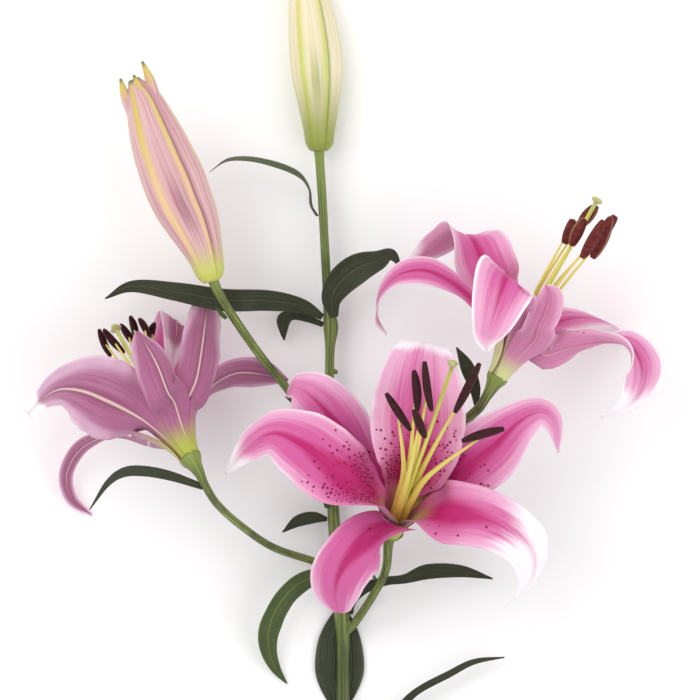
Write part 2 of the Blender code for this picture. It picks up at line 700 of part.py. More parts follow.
def tepal(name, frame, shape):
    """Make one tepal: a root that follows the funnel, then its own free curve."""
    azimuth = shape["azimuth"]
    controls = []
    for height, whorls in FUNNEL:
        radius, half, wrap = whorls[shape["whorl"]]
        place = frame.point(azimuth, height, radius)
        controls.append((*place, half, wrap * math.degrees(half / radius), 0.0))
    controls += list(shape["free"])
    return blade(name, controls, -frame.radial(azimuth), shape["ruffle"],
                 (TEPAL_ROWS, TEPAL_CELLS), TEPAL_THICKNESS, "tepal_pink", shape["looks"])


def spindle(name, tail, head, radius, material):
    """Make an anther or knob: a slim body, thickest in the middle."""
    tail, head = np.array(tail, dtype=float), np.array(head, dtype=float)
    places = np.array([tail + (head - tail) * step for step, _ in SPINDLE])
    radii = [radius * girth for _, girth in SPINDLE]
    points, faces = tube_mesh(places, radii, (0.0, 0.0, 1.0), ANTHER_SIDES)
    return mesh_object(name, points, faces, material)


def stamens(bloom_name, frame, filaments):
    """Make the six stamens of a bloom, joined by the ring that they grow from."""
    points, faces = [], []
    for radius, height in RING:
        points += [frame.point(360.0 * step / RING_SIDES, height, radius)
                   for step in range(RING_SIDES)]
    for ring in range(len(RING)):
        for step in range(RING_SIDES):
            after = (step + 1) % RING_SIDES
            above = (ring + 1) % len(RING) * RING_SIDES
            faces.append((ring * RING_SIDES + step, ring * RING_SIDES + after,
                          above + after, above + step))
    pieces = [mesh_object("ring", points, faces, "style_green")]
    for index, (azimuth, middle, tail, head) in enumerate(filaments):
        middle = np.array(middle, dtype=float)
        controls = [(*frame.point(azimuth, height, away), radius)
                    for height, away, radius in FILAMENT_ROOT]
        upper = frame.point(azimuth, *FILAMENT_ROOT[-1][:2])
        on_line = LINE_SHARE * middle + (1.0 - LINE_SHARE) * upper
        bend = (BEND_SHARE * frame.point(azimuth, *FILAMENT_BEND[:2])
                + (1.0 - BEND_SHARE) * on_line)
        controls += [(*bend, FILAMENT_BEND[2]), (*middle, FILAMENT_TIP)]
        pieces.append(tube(f"filament_{index}", controls, (FILAMENT_ROWS, FILAMENT_SIDES),
                           "style_green", frame.radial(azimuth)))
        pieces.append(spindle(f"anther_{index}", tail, head, ANTHER_RADIUS, "anther_brown"))
    return fused(f"{bloom_name}_stamens", pieces)


def pistil(bloom_name, frame, stigma):
    """Make the ovary, style and stigma on the bloom's axis."""
    tip = np.array(stigma, dtype=float)
    away = tip - frame.point(0, STYLE_TURN, 0.0)
    away /= np.linalg.norm(away)
    height, back, radius = STYLE_BEND
    bend = 0.5 * frame.point(0, height, 0.0) + 0.5 * (tip - away * back)
    controls = [(*frame.point(0, at, 0.0), girth) for at, girth in OVARY]
    controls.append((*bend, radius))
    controls += [(*(tip - away * before), girth) for before, girth in STIGMA]
    return tube(f"{bloom_name}_pistil", controls, (STYLE_ROWS, STYLE_SIDES), "style_green")


def stem():
    """Make the main stem with its flat rest, slanting cut, nodes and four pedicels."""
    flat = np.array([(0.0, CUT_END, FLAT_HEIGHT, STEM_RADIUS),
                     (0.0, FLAT_START, FLAT_HEIGHT, STEM_RADIUS)])
    table = np.vstack([flat, curve_rows(MAIN_STEM, STEM_ROWS)])
    points, faces = tube_mesh(table[:, :3], table[:, 3], (0.0, 0.0, 1.0), STEM_SIDES)
    for index, point in enumerate(points):
        if index < STEM_SIDES:
            point[1] -= CUT_SLANT * (point[2] - FLAT_HEIGHT)
        if point[1] < MAIN_STEM[1][1] and point[2] < SNAP_HEIGHT:
            point[2] = 0.0
    pieces = [mesh_object("main", points, faces, "stem_green")]
    for name, controls in PEDICELS.items():
        frame = BloomFrame(BLOOMS[name])
        ends = [(*frame.point(0, -height, 0.0), radius) for height, radius in RECEPTACLE]
        pieces.append(tube("pedicel_" + name, list(controls) + ends, (PEDICEL_ROWS, STEM_SIDES),
                           "stem_green"))
    pieces.append(tube("pedicel_bud", BUD_PEDICEL, (BUD_PEDICEL_ROWS, STEM_SIDES), "stem_green"))
    for root, head in KNOBS:
        pieces.append(spindle("knob", head, root, KNOB_RADIUS, "stem_green"))
    return fused("stem", pieces)


def bud(name, shape):
    """Make a closed bud with three shallow lobes."""
    root, tip = np.array(shape["root"]), np.array(shape["tip"])
    steps = np.linspace(0.0, 1.0, len(shape["halves"]))
    rows = [(*(root + (tip - root) * step), half) for step, half in zip(steps, shape["halves"])]
    return tube(name, rows, (BUD_ROWS, BUD_SIDES), shape["material"], lobe=BUD_LOBE)


def opening_bud(name, shape):
    """Make the left bud, whose three outer tips have just come apart."""
    pieces = [bud(name, shape)]
    tip = np.array(shape["tip"])
    axis = tip - np.array(shape["root"])
    axis /= np.linalg.norm(axis)
    side = np.cross(axis, (0.0, 0.0, 1.0))
    for (across, lift), end in BUD_TIPS:
        start = tip - axis * BUD_TIP_DEPTH + side * across + np.array([0.0, 0.0, lift])
        places = (start, 0.5 * (start + np.array(end)), end)
        rows = [(*place, radius) for place, radius in zip(places, BUD_TIP_RADII)]
        pieces.append(tube("tip", rows, (BUD_TIP_ROWS, BUD_TIP_SIDES), shape["material"]))
    return fused(name, pieces)


def leaf(name, shape):
    """Make one leaf or bract."""
    cells = WIDE_LEAF_CELLS if name in WIDE_LEAVES else LEAF_CELLS
    rows = BRACT_ROWS if name.startswith("bract") else LEAF_ROWS
    return blade(name, shape["controls"], shape["upper_face"], shape["ruffle"], (rows, cells),
                 LEAF_THICKNESS, "leaf_green")


def main():
    """Build every piece of the lily."""
    clear_scene()
    stem()
    for name, bloom in BLOOMS.items():
        frame = BloomFrame(bloom)
        for tepal_name, shape in bloom["tepals"].items():
            tepal(f"{name}_tepal_{tepal_name}", frame, shape)
        stamens(name, frame, bloom["filaments"])
        pistil(name, frame, bloom["stigma"])
    bud("bud_top", BUDS["bud_top"])
    opening_bud("bud_left", BUDS["bud_left"])
    for name, shape in LEAVES.items():
        leaf(name, shape)


main()
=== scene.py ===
"""The look of a cut lily that lies on a pale surface, seen from straight above.

Tables give places and sizes in millimetres in the part's own frame: +Y runs up the stem,
+X to its right and +Z up from the surface.  Meshes are made in metres.
"""

from __future__ import annotations

import logging
import math
from dataclasses import dataclass, field
from enum import Enum
from functools import cache
from typing import Callable, Optional, Sequence

import bmesh
import bpy
import numpy as np
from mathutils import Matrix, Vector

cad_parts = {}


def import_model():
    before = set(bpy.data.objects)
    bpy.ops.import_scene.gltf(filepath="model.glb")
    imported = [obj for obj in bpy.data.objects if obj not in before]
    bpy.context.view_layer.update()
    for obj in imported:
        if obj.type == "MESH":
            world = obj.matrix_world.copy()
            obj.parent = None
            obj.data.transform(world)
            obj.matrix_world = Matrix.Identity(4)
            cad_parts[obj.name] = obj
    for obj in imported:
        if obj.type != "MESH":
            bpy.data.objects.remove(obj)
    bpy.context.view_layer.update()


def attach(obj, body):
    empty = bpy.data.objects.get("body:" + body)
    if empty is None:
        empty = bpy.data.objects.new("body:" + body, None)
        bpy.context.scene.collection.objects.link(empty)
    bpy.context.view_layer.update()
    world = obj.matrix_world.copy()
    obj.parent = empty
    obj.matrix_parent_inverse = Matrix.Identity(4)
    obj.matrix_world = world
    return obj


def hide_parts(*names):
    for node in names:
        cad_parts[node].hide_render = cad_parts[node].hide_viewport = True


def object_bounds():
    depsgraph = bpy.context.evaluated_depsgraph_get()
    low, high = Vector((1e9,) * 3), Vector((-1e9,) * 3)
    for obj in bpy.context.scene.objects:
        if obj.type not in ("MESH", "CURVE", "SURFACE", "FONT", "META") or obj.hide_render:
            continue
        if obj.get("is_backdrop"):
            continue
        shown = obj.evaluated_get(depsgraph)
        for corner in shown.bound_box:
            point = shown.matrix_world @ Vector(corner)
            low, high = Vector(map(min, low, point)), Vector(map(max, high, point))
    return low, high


LOG = logging.getLogger("cut_lily")

MM = 0.001
BODY = "root"

# Mesh fineness
TEPAL_ROWS, TEPAL_CELLS = 84, 36
LEAF_ROWS, BRACT_ROWS, LEAF_CELLS = 72, 24, 20
BUD_ROWS, BUD_SIDES = 90, 96
TIP_ROWS, TIP_SIDES = 32, 24
STYLE_ROWS, STYLE_SIDES = 90, 24
ANTHER_ROWS, ANTHER_SIDES = 25, 24
FILAMENT_ROWS, FILAMENT_SIDES = 34, 10
CUSHION_SIDES = 20
TRUNK_ROWS, PEDICEL_ROWS, BUD_PEDICEL_ROWS, KNOB_ROWS, STEM_SIDES = 170, 60, 50, 12, 28

# Stem and the flat spot that it rests on
RIDGES = 8
STEM_RADIUS = 3.75
FLAT_HEIGHT = STEM_RADIUS * math.cos(math.pi / RIDGES) - 0.02
FLAT_END = 12.0
FLAT_REACH = 0.3

Vec = Sequence[float]
Row = Sequence[float]
Socket = bpy.types.NodeSocket
Material = bpy.types.Material
Piece = bpy.types.Object

UP = (0.0, 0.0, 1.0)


# ---------------------------------------------------------------- colours


def tint(red: int, green: int, blue: int) -> tuple[float, ...]:
    """Turn a display colour into the linear colour that shaders use.

    Args:
        red: Red from 0 to 255.
        green: Green from 0 to 255.
        blue: Blue from 0 to 255.

    Returns:
        Linear red, green and blue with full opacity.
    """
    shares = [value / 255.0 for value in (red, green, blue)]
    parts = [share / 12.92 if share <= 0.04045 else ((share + 0.055) / 1.055) ** 2.4 for share in shares]
    return (*parts, 1.0)


class Tint(Enum):
    """Colours of the lily's own parts and of the floor; some are also laid on as painted shade and
    painted highlights.
    """

    PINK = tint(208, 92, 156)
    PINK_LIGHT = tint(234, 174, 206)
    MAGENTA = tint(186, 28, 108)
    WHITE = tint(250, 242, 248)
    THROAT = tint(206, 204, 104)
    SPOT = tint(112, 12, 52)
    MAUVE = tint(178, 108, 146)
    MAUVE_DEEP = tint(134, 64, 98)
    MAUVE_PALE = tint(222, 186, 208)
    CREAM_RIB = tint(228, 204, 190)
    BASE_GREEN = tint(176, 182, 74)
    SOFT_BACK = tint(208, 138, 174)
    SOFT_BACK_DEEP = tint(186, 88, 138)
    SOFT_BASE = tint(208, 212, 150)
    STEM = tint(86, 94, 54)
    STEM_LIGHT = tint(140, 156, 78)
    STEM_DARK = tint(58, 66, 38)
    CUT = tint(206, 214, 160)
    CUT_FIBRE = tint(150, 160, 96)
    LEAF = tint(62, 68, 46)
    LEAF_LIGHT = tint(90, 98, 68)
    LEAF_DARK = tint(42, 46, 32)
    LEAF_BACK = tint(96, 108, 80)
    LEAF_FRESH = tint(74, 94, 46)
    BUD_CREAM = tint(238, 228, 204)
    BUD_CREAM_SHADE = tint(222, 210, 160)
    BUD_STRAW = tint(220, 206, 120)
    BUD_LIME = tint(198, 206, 96)
    BUD_OLIVE = tint(140, 152, 58)
    BUD_PINK = tint(222, 186, 184)
    BUD_PINK_DEEP = tint(198, 138, 152)
    BUD_GOLD = tint(232, 200, 142)
    BUD_YELLOW = tint(214, 198, 70)
    TIP_GREEN = tint(66, 88, 44)
    FILAMENT = tint(224, 212, 112)
    FILAMENT_GOLD = tint(230, 196, 92)
    ANTHER = tint(44, 8, 14)
    ANTHER_RED = tint(88, 20, 24)
    POLLEN = tint(140, 62, 44)
    POLLEN_DARK = tint(84, 26, 28)
    STYLE = tint(204, 208, 96)
    STIGMA = tint(186, 186, 120)
    FLOOR = (0.98, 0.98, 0.98, 1.0)
    FLOOR_CLOUD = (0.96, 0.96, 0.96, 1.0)


# ---------------------------------------------------------------- curves and frames


def smooth_step(low: float, high: float, value: np.ndarray) -> np.ndarray:
    """Rise smoothly from 0 at low to 1 at high.

    Args:
        low: Where the rise starts.
        high: Where it ends.
        value: Values to place on the rise.

    Returns:
        Shares between 0 and 1.
    """
    share = np.clip((value - low) / (high - low), 0.0, 1.0)
    return share * share * (3.0 - 2.0 * share)


def bell(value: np.ndarray, middle: float, width: float | np.ndarray) -> np.ndarray:
    """Fall off smoothly on both sides of a middle value.

    Args:
        value: Values to place on the bell.
        middle: Where the bell is 1.
        width: Distance at which about a third is left.

    Returns:
        Shares between 0 and 1.
    """
    return np.exp(-(((value - middle) / width) ** 2))


def unit(vector: Vec) -> np.ndarray:
    """Return a vector's direction."""
    return np.array(vector, dtype=float) / np.linalg.norm(vector)


def curve_rows(controls: Sequence[Row], count: int) -> np.ndarray:
    """Read evenly spaced rows from a smooth curve through control rows.

    Args:
        controls: Rows whose first three columns are a place in millimetres.
        count: Number of rows to return.

    Returns:
        An array of count rows with the columns of the controls.
    """
    table = np.array(controls, dtype=float)
    ends = np.vstack([2 * table[0] - table[1], table, 2 * table[-1] - table[-2]])
    fine = []
    for before, start, end, after in zip(ends, ends[1:], ends[2:], ends[3:]):
        for t in np.arange(0.0, 1.0, 0.05):
            fine.append(0.5 * (2 * start + (end - before) * t
                               + (2 * before - 5 * start + 4 * end - after) * t ** 2
                               + (3 * start - before - 3 * end + after) * t ** 3))
    dense = np.array(fine + [table[-1]])
    steps = np.linalg.norm(np.diff(dense[:, :3], axis=0), axis=1)
    length = np.concatenate([[0.0], np.cumsum(steps)])
    wanted = np.linspace(0.0, length[-1], count)
    return np.column_stack([np.interp(wanted, length, column) for column in dense.T])


@dataclass
class Frames:
    """Side and normal at each row of a curve."""

    sides: np.ndarray
    normals: np.ndarray

    @classmethod
    def along(cls, places: np.ndarray, first_normal: Vec) -> Frames:
        """Carry a normal along a curve without twist.

        Args:
            places: Points of the curve.
            first_normal: Rough direction of the normal at the start.

        Returns:
            The frames at the points.
        """
        tangents = np.gradient(places, axis=0)
        tangents /= np.linalg.norm(tangents, axis=1)[:, None]
        normal = np.array(first_normal, dtype=float)
        normals = np.empty_like(tangents)
        for index, tangent in enumerate(tangents):
            normal = normal - tangent * normal.dot(tangent)
            normal = normal / np.linalg.norm(normal)
            normals[index] = normal
        return cls(np.cross(tangents, normals), normals)


# ---------------------------------------------------------------- meshes


def placed(name: str, data: bpy.types.ID) -> Piece:
    """Put an object in the scene.

    Args:
        name: Object name.
        data: Its mesh, light or camera.

    Returns:
        The object.
    """
    item = bpy.data.objects.new(name, data)
    bpy.context.scene.collection.objects.link(item)
    return item


def keep_values(mesh: bpy.types.Mesh, values: dict[str, np.ndarray]) -> None:
    """Store surface values on a mesh's points.

    Args:
        mesh: The mesh.
        values: A value for each point under each name.
    """
    for key, column in values.items():
        attribute = mesh.attributes.new(key, "FLOAT", "POINT")
        attribute.data.foreach_set("value", column.astype(np.float32).ravel())


@dataclass
class Sheet:
    """Points, faces and surface values of one closed body, in millimetres."""

    points: np.ndarray
    faces: list[tuple[int, ...]]
    slots: list[int]
    uv: np.ndarray
    values: dict[str, np.ndarray] = field(default_factory=dict)

    def make(self, name: str, *materials: Material) -> Piece:
        """Make the mesh object, smooth and with its faces outwards.

        Args:
            name: Object name.
            materials: Materials in the order of the face slots.

        Returns:
            The new object in the scene.
        """
        mesh = bpy.data.meshes.new(name)
        mesh.from_pydata((self.points * MM).tolist(), [], self.faces)
        for material in materials:
            mesh.materials.append(material)
        mesh.polygons.foreach_set("material_index", self.slots)
        layer = mesh.uv_layers.new(name="UVMap")
        corners = np.empty(len(mesh.loops), dtype=np.int32)
        mesh.loops.foreach_get("vertex_index", corners)
        layer.data.foreach_set("uv", self.uv[corners].astype(np.float32).ravel())
        keep_values(mesh, self.values)
        shape = bmesh.new()
        shape.from_mesh(mesh)
        bmesh.ops.recalc_face_normals(shape, faces=shape.faces)
        shape.to_mesh(mesh)
        shape.free()
        mesh.shade_smooth()
        return placed(name, mesh)


def grid_faces(rows: int, columns: int, start: int, flip: bool) -> list[tuple[int, ...]]:
    """List the quads of a grid of points.

    Args:
        rows: Rows of points.
        columns: Points in a row.
        start: Index of the first point.
        flip: True to turn the faces over.

    Returns:
        The quads.
    """
    faces = []
    for row in range(rows - 1):
        for column in range(columns - 1):
            a = start + row * columns + column
            quad = (a, a + 1, a + columns + 1, a + columns)
            faces.append(quad[::-1] if flip else quad)
    return faces


def thick_sheet(surface: np.ndarray, thickness: np.ndarray, uv: np.ndarray,
                values: dict[str, np.ndarray]) -> Sheet:
    """Turn an open surface into a closed sheet with an inner and an outer face.

    Args:
        surface: Grid of points, rows by columns by three.
        thickness: Thickness at each point.
        uv: Across and along from 0 to 1 at each point.
        values: Surface values at each point.

    Returns:
        The closed sheet: slot 0 on the inner face and rim, slot 1 on the outer face.
    """
    rows, columns = surface.shape[:2]
    normals = np.cross(np.gradient(surface, axis=1), np.gradient(surface, axis=0))
    normals /= np.maximum(np.linalg.norm(normals, axis=2), 1e-9)[..., None]
    lift = normals * (0.5 * thickness)[..., None]
    count = rows * columns
    faces = grid_faces(rows, columns, 0, False) + grid_faces(rows, columns, count, True)
    slots = [0] * (len(faces) // 2) + [1] * (len(faces) // 2)
    loop = ([c for c in range(columns)] + [r * columns + columns - 1 for r in range(1, rows)]
            + [(rows - 1) * columns + c for c in range(columns - 2, -1, -1)]
            + [r * columns for r in range(rows - 2, 0, -1)])
    for a, b in zip(loop, loop[1:] + loop[:1]):
        faces.append((b, a, a + count, b + count))
        slots.append(0)
    both = {key: np.concatenate([grid.ravel(), grid.ravel()]) for key, grid in values.items()}
    flat = uv.reshape(-1, 2)
    points = np.vstack([(surface + lift).reshape(-1, 3), (surface - lift).reshape(-1, 3)])
    return Sheet(points, faces, slots, np.vstack([flat, flat]), both)


def tube_sheet(places: np.ndarray, reach: Callable[[np.ndarray, int], np.ndarray], first_normal: Vec,
               sides: int, slot_caps: int = 0) -> Sheet:
    """Sweep a ring of any shape along a curve and close both ends.

    Args:
        places: Points of the curve.
        reach: Gives the distance from the curve for the ring's angles at a row.
        first_normal: Direction of angle 0 at the start.
        sides: Points in a ring.
        slot_caps: Material slot of the end faces.

    Returns:
        The closed tube, with the share of its length along v.
    """
    frames = Frames.along(places, first_normal)
    angles = (2 * math.pi * np.arange(sides + 1) / sides)[:-1]
    length = np.concatenate([[0.0], np.cumsum(np.linalg.norm(np.diff(places, axis=0), axis=1))])
    points, uv, faces = [], [], []
    for row, place in enumerate(places):
        radii = reach(angles, row)
        points.append(place + frames.normals[row] * (radii * np.cos(angles))[:, None]
                      + frames.sides[row] * (radii * np.sin(angles))[:, None])
        uv.append(np.column_stack([angles / (2 * math.pi), np.full(sides, length[row] / length[-1])]))
    for row in range(len(places) - 1):
        for step in range(sides):
            a, b = row * sides + step, row * sides + (step + 1) % sides
            faces.append((a, b, b + sides, a + sides))
    slots = [0] * len(faces) + [slot_caps, slot_caps]
    last = (len(places) - 1) * sides
    faces += [tuple(range(sides)), tuple(range(last, last + sides))]
    return Sheet(np.vstack(points), faces, slots, np.vstack(uv))


def round_reach(radii: Sequence[float]) -> Callable[[np.ndarray, int], np.ndarray]:
    """Give plain round rings.

    Args:
        radii: Radius at each row.

    Returns:
        The function that a tube asks for its rings.
    """
    return lambda angles, row: np.full(len(angles), radii[row])


def settle(item: Piece, slot: str, *nodes: str) -> None:
    """Keep a finished piece above the surface, fix it to the body and hide the solids that it replaces.

    Args:
        item: The piece.
        slot: Not used.
        nodes: Solids that the piece replaces.
    """
    for vertex in item.data.vertices:
        vertex.co.z = max(vertex.co.z, 0.0)
    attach(item, BODY)
    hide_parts(*nodes)
    LOG.info("%s: %d faces", item.name, len(item.data.polygons))


def baked(item: Piece, name: str) -> Piece:
    """Turn an object's evaluated modifiers into a plain mesh object.

    Args:
        item: Object with live modifiers, removed afterwards.
        name: Name of the plain object.

    Returns:
        The plain object.
    """
    bpy.context.view_layer.update()
    evaluated = item.evaluated_get(bpy.context.evaluated_depsgraph_get())
    mesh = bpy.data.meshes.new_from_object(evaluated)
    bpy.data.objects.remove(item, do_unlink=True)
    mesh.name = name
    return placed(name, mesh)


def united(name: str, pieces: Sequence[Piece]) -> Piece:
    """Join closed pieces into one body.

    Args:
        name: Name of the joined object.
        pieces: Closed objects that run into each other.

    Returns:
        The joined object.
    """
    keeper, others = pieces[0], pieces[1:]
    group = bpy.data.collections.new(name + "_pieces")
    bpy.context.scene.collection.children.link(group)
    for item in others:
        group.objects.link(item)
    union = keeper.modifiers.new("union", "BOOLEAN")
    union.operation = "UNION"
    union.operand_type = "COLLECTION"
    union.collection = group
    union.solver = "EXACT"
    union.material_mode = "TRANSFER"
    plain = baked(keeper, name)
    for item in others:
        bpy.data.objects.remove(item, do_unlink=True)
    bpy.data.collections.remove(group)
    plain.data.shade_smooth()
    return plain


def gathered(name: str, pieces: Sequence[Piece]) -> Piece:
    """Put closed pieces of one finish side by side in one object.

    Args:
        name: Name of the object.
        pieces: Closed objects that stand apart.

    Returns:
        The object.
    """
    shape = bmesh.new()
    material = pieces[0].data.materials[0]
    for item in pieces:
        shape.from_mesh(item.data)
        bpy.data.objects.remove(item, do_unlink=True)
    mesh = bpy.data.meshes.new(name)
    shape.to_mesh(mesh)
    shape.free()
    mesh.materials.append(material)
    mesh.shade_smooth()
    return placed(name, mesh)


# ---------------------------------------------------------------- finishes


class Sketch:
    """Short ways to write one material's node tree, with a running colour."""

    def __init__(self, name: str, colour: Tint, roughness: float, sheen: float = 0.0,
                 subsurface: float = 0.0) -> None:
        """Start a Principled material.

        Args:
            name: Material name.
            colour: Colour that the others are painted over.
            roughness: Roughness of the surface.
            sheen: Weight of the soft sheen.
            subsurface: Weight of the light that passes through thin flesh.
        """
        self.material = bpy.data.materials.new(name)
        self.material.use_nodes = True
        self.tree = self.material.node_tree
        self.shader = self.tree.nodes["Principled BSDF"]
        self.colour: object = colour.value
        for label, value in (("Roughness", roughness), ("Sheen Weight", sheen), ("Sheen Roughness", 0.4),
                             ("Subsurface Weight", subsurface), ("Subsurface Scale", 0.0015),
                             ("Subsurface Radius", (1.0, 0.35, 0.5)), ("Specular IOR Level", 0.3)):
            self.shader.inputs[label].default_value = value

    def _put(self, kind: str, **settings: object) -> bpy.types.Node:
        """Add a node.

        Args:
            kind: Type of the node.
            settings: Its properties.

        Returns:
            The node.
        """
        node = self.tree.nodes.new(kind)
        for key, value in settings.items():
            setattr(node, key, value)
        return node

    def _feed(self, socket: Socket, value: object) -> None:
        """Link a socket or set its value.

        Args:
            socket: Input of a node.
            value: Socket, number or colour for it.
        """
        if isinstance(value, bpy.types.NodeSocket):
            self.tree.links.new(value, socket)
        else:
            socket.default_value = value.value if isinstance(value, Tint) else value

    def attribute(self, name: str) -> Socket:
        """Read one of the mesh's own values."""
        return self._put("ShaderNodeAttribute", attribute_name=name).outputs["Fac"]

    def place(self) -> Socket:
        """Read the object coordinates."""
        return self._put("ShaderNodeTexCoord").outputs["Object"]

    def uv(self) -> tuple[Socket, Socket, Socket]:
        """Read the UV map.

        Returns:
            The UV vector, across and along.
        """
        vector = self._put("ShaderNodeUVMap", uv_map="UVMap").outputs["UV"]
        split = self._put("ShaderNodeSeparateXYZ")
        self._feed(split.inputs[0], vector)
        return vector, split.outputs["X"], split.outputs["Y"]

    def math(self, operation: str, first: object, second: object = 0.0) -> Socket:
        """Combine two numbers.

        Args:
            operation: Name of the operation.
            first: Number or socket.
            second: Number or socket.

        Returns:
            The result.
        """
        node = self._put("ShaderNodeMath", operation=operation)
        self._feed(node.inputs[0], first)
        self._feed(node.inputs[1], second)
        return node.outputs[0]

    def plus(self, first: object, second: object) -> Socket:
        """Add two numbers."""
        return self.math("ADD", first, second)

    def times(self, first: object, second: object) -> Socket:
        """Multiply two numbers."""
        return self.math("MULTIPLY", first, second)

    def swing(self, noise: Socket, size: float) -> Socket:
        """Let a noise swing round 0 by a size."""
        return self.times(self.math("SUBTRACT", noise, 0.5), size)

    def edge(self, across: Socket) -> Socket:
        """Say how far from a blade's midrib a place is, with 1 at its margins."""
        return self.math("ABSOLUTE", self.math("SUBTRACT", self.times(across, 2.0), 1.0))

    def ramp(self, value: object, low: float, high: float, start: float = 0.0,
             end: float = 1.0) -> Socket:
        """Map a stretch of values smoothly to another.

        Args:
            value: Number or socket.
            low: Value where the result is start.
            high: Value where the result is end.
            start: Result at low.
            end: Result at high.

        Returns:
            The mapped value.
        """
        node = self._put("ShaderNodeMapRange", interpolation_type="SMOOTHSTEP")
        for socket, item in zip(node.inputs[:5], (value, low, high, start, end)):
            self._feed(socket, item)
        return node.outputs[0]

    def mix(self, share: object, first: object, second: object) -> Socket:
        """Blend two colours.

        Args:
            share: Share of the second colour.
            first: Colour or socket.
            second: Colour or socket.

        Returns:
            The blended colour.
        """
        node = self._put("ShaderNodeMix", data_type="RGBA", clamp_factor=True)
        for place, item in ((0, share), (6, first), (7, second)):
            self._feed(node.inputs[place], item)
        return node.outputs[2]

    def paint(self, share: object, colour: object) -> None:
        """Lay a share of a colour over the running colour."""
        self.colour = self.mix(share, self.colour, colour)

    def streaks(self, vector: Socket, scale: Vec, detail: float = 3.0) -> Socket:
        """Make streaks by a noise whose coordinates are stretched.

        Args:
            vector: Coordinates.
            scale: Stretch of each coordinate.
            detail: Detail of the noise.

        Returns:
            Noise around 0.5.
        """
        mapping = self._put("ShaderNodeMapping")
        self._feed(mapping.inputs["Vector"], vector)
        mapping.inputs["Scale"].default_value = tuple(scale)
        noise = self._put("ShaderNodeTexNoise")
        self._feed(noise.inputs["Vector"], mapping.outputs[0])
        noise.inputs["Scale"].default_value = 1.0
        noise.inputs["Detail"].default_value = detail
        return noise.outputs["Fac"]

    def grain(self, scale: float) -> Socket:
        """Make an even noise in the object's own place."""
        return self.streaks(self.place(), (scale, scale, scale))

    def relief(self, height: object, strength: float, distance: float) -> None:
        """Set fine relief on the shader.

        Args:
            height: Height from 0 to 1.
            strength: Strength of the relief.
            distance: Real height in metres.
        """
        bump = self._put("ShaderNodeBump")
        for label, value in (("Strength", strength), ("Distance", distance), ("Height", height)):
            self._feed(bump.inputs[label], value)
        self.tree.links.new(bump.outputs[0], self.shader.inputs["Normal"])

    def finish(self, roughness: Optional[Socket] = None) -> Material:
        """Use the running colour and return the material.

        Args:
            roughness: Varying roughness, if any.

        Returns:
            The finished material.
        """
        self._feed(self.shader.inputs["Base Color"], self.colour)
        if roughness is not None:
            self._feed(self.shader.inputs["Roughness"], roughness)
        return self.material


@dataclass(frozen=True)
class PetalFinish:
    """Colours of the outer faces of a bloom's tepals; their inner faces share one scheme."""

    name: str
    back: Tint
    back_deep: Tint
    back_pale: Tint
    rib: float
    base: Tint

    @cache
    def inner(self) -> Material:
        """Make the inner face: a magenta midrib, pink flesh, pale margins and a green throat.

        Returns:
            The material.
        """
        pen = Sketch(self.name + "_inner", Tint.PINK, 0.48, sheen=0.2, subsurface=0.12)
        vector, across, along = pen.uv()
        side = pen.edge(across)
        fine = pen.streaks(vector, (64.0, 3.0, 1.0))
        broad = pen.streaks(vector, (17.0, 2.2, 1.0), 4.0)
        cloud = pen.streaks(vector, (6.0, 5.0, 1.0), 4.0)
        sway = pen.plus(pen.swing(broad, 0.9), pen.swing(fine, 0.5))
        pen.paint(pen.ramp(pen.plus(pen.attribute("soft"), sway), 0.1, 0.95), Tint.PINK_LIGHT)
        deep = pen.plus(pen.attribute("deep"), pen.times(sway, 0.7))
        pen.paint(pen.ramp(deep, 0.15, 0.95), Tint.MAGENTA)
        vein = pen.times(pen.ramp(side, 0.0, 0.05, 1.0, 0.0), pen.ramp(along, 0.16, 0.3, 0.0, 0.7))
        pen.paint(pen.times(vein, pen.ramp(along, 0.6, 0.9, 1.0, 0.0)), Tint.MAGENTA)
        throat = pen.times(pen.ramp(along, 0.1, 0.27, 1.0, 0.0), pen.ramp(side, 0.2, 0.7, 1.0, 0.2))
        pen.paint(throat, Tint.THROAT)
        ragged = pen.plus(pen.times(sway, 0.55), pen.swing(cloud, 0.5))
        pen.paint(pen.ramp(pen.plus(pen.attribute("pale"), ragged), 0.3, 0.95), Tint.WHITE)
        pen.relief(pen.plus(fine, broad), 0.5, 0.0005)
        return pen.finish(pen.ramp(fine, 0.2, 0.8, 0.42, 0.56))

    @cache
    def outer(self) -> Material:
        """Make the outer face: a cream rib, fine veins and a green root.

        Returns:
            The material.
        """
        pen = Sketch(self.name + "_back", self.back, 0.52, sheen=0.2, subsurface=0.12)
        vector, across, along = pen.uv()
        side = pen.edge(across)
        fine = pen.streaks(vector, (90.0, 2.4, 1.0), 4.0)
        sway = pen.swing(pen.streaks(vector, (6.0, 3.0, 1.0)), 0.7)
        pen.paint(pen.ramp(fine, 0.3, 0.75, 0.0, 0.6), self.back_deep)
        pen.paint(pen.ramp(pen.plus(pen.attribute("soft"), sway), 0.2, 1.0, 0.0, 0.75), self.back_pale)
        shadow = pen.times(pen.ramp(side, 0.05, 0.26, 0.6, 0.0), pen.ramp(along, 0.2, 0.5, 0.2, 1.0))
        pen.paint(shadow, self.back_deep)
        rib = pen.times(pen.ramp(side, 0.015, 0.055, 1.0, 0.0), pen.ramp(along, 0.7, 1.0, self.rib, 0.1))
        pen.paint(rib, Tint.CREAM_RIB)
        pen.paint(pen.ramp(pen.plus(pen.attribute("pale"), pen.times(sway, 0.7)), 0.35, 1.0), Tint.WHITE)
        pen.paint(pen.ramp(pen.plus(along, pen.swing(fine, 0.12)), 0.04, 0.26, 1.0, 0.0), self.base)
        pen.relief(fine, 0.45, 0.0004)
        return pen.finish()


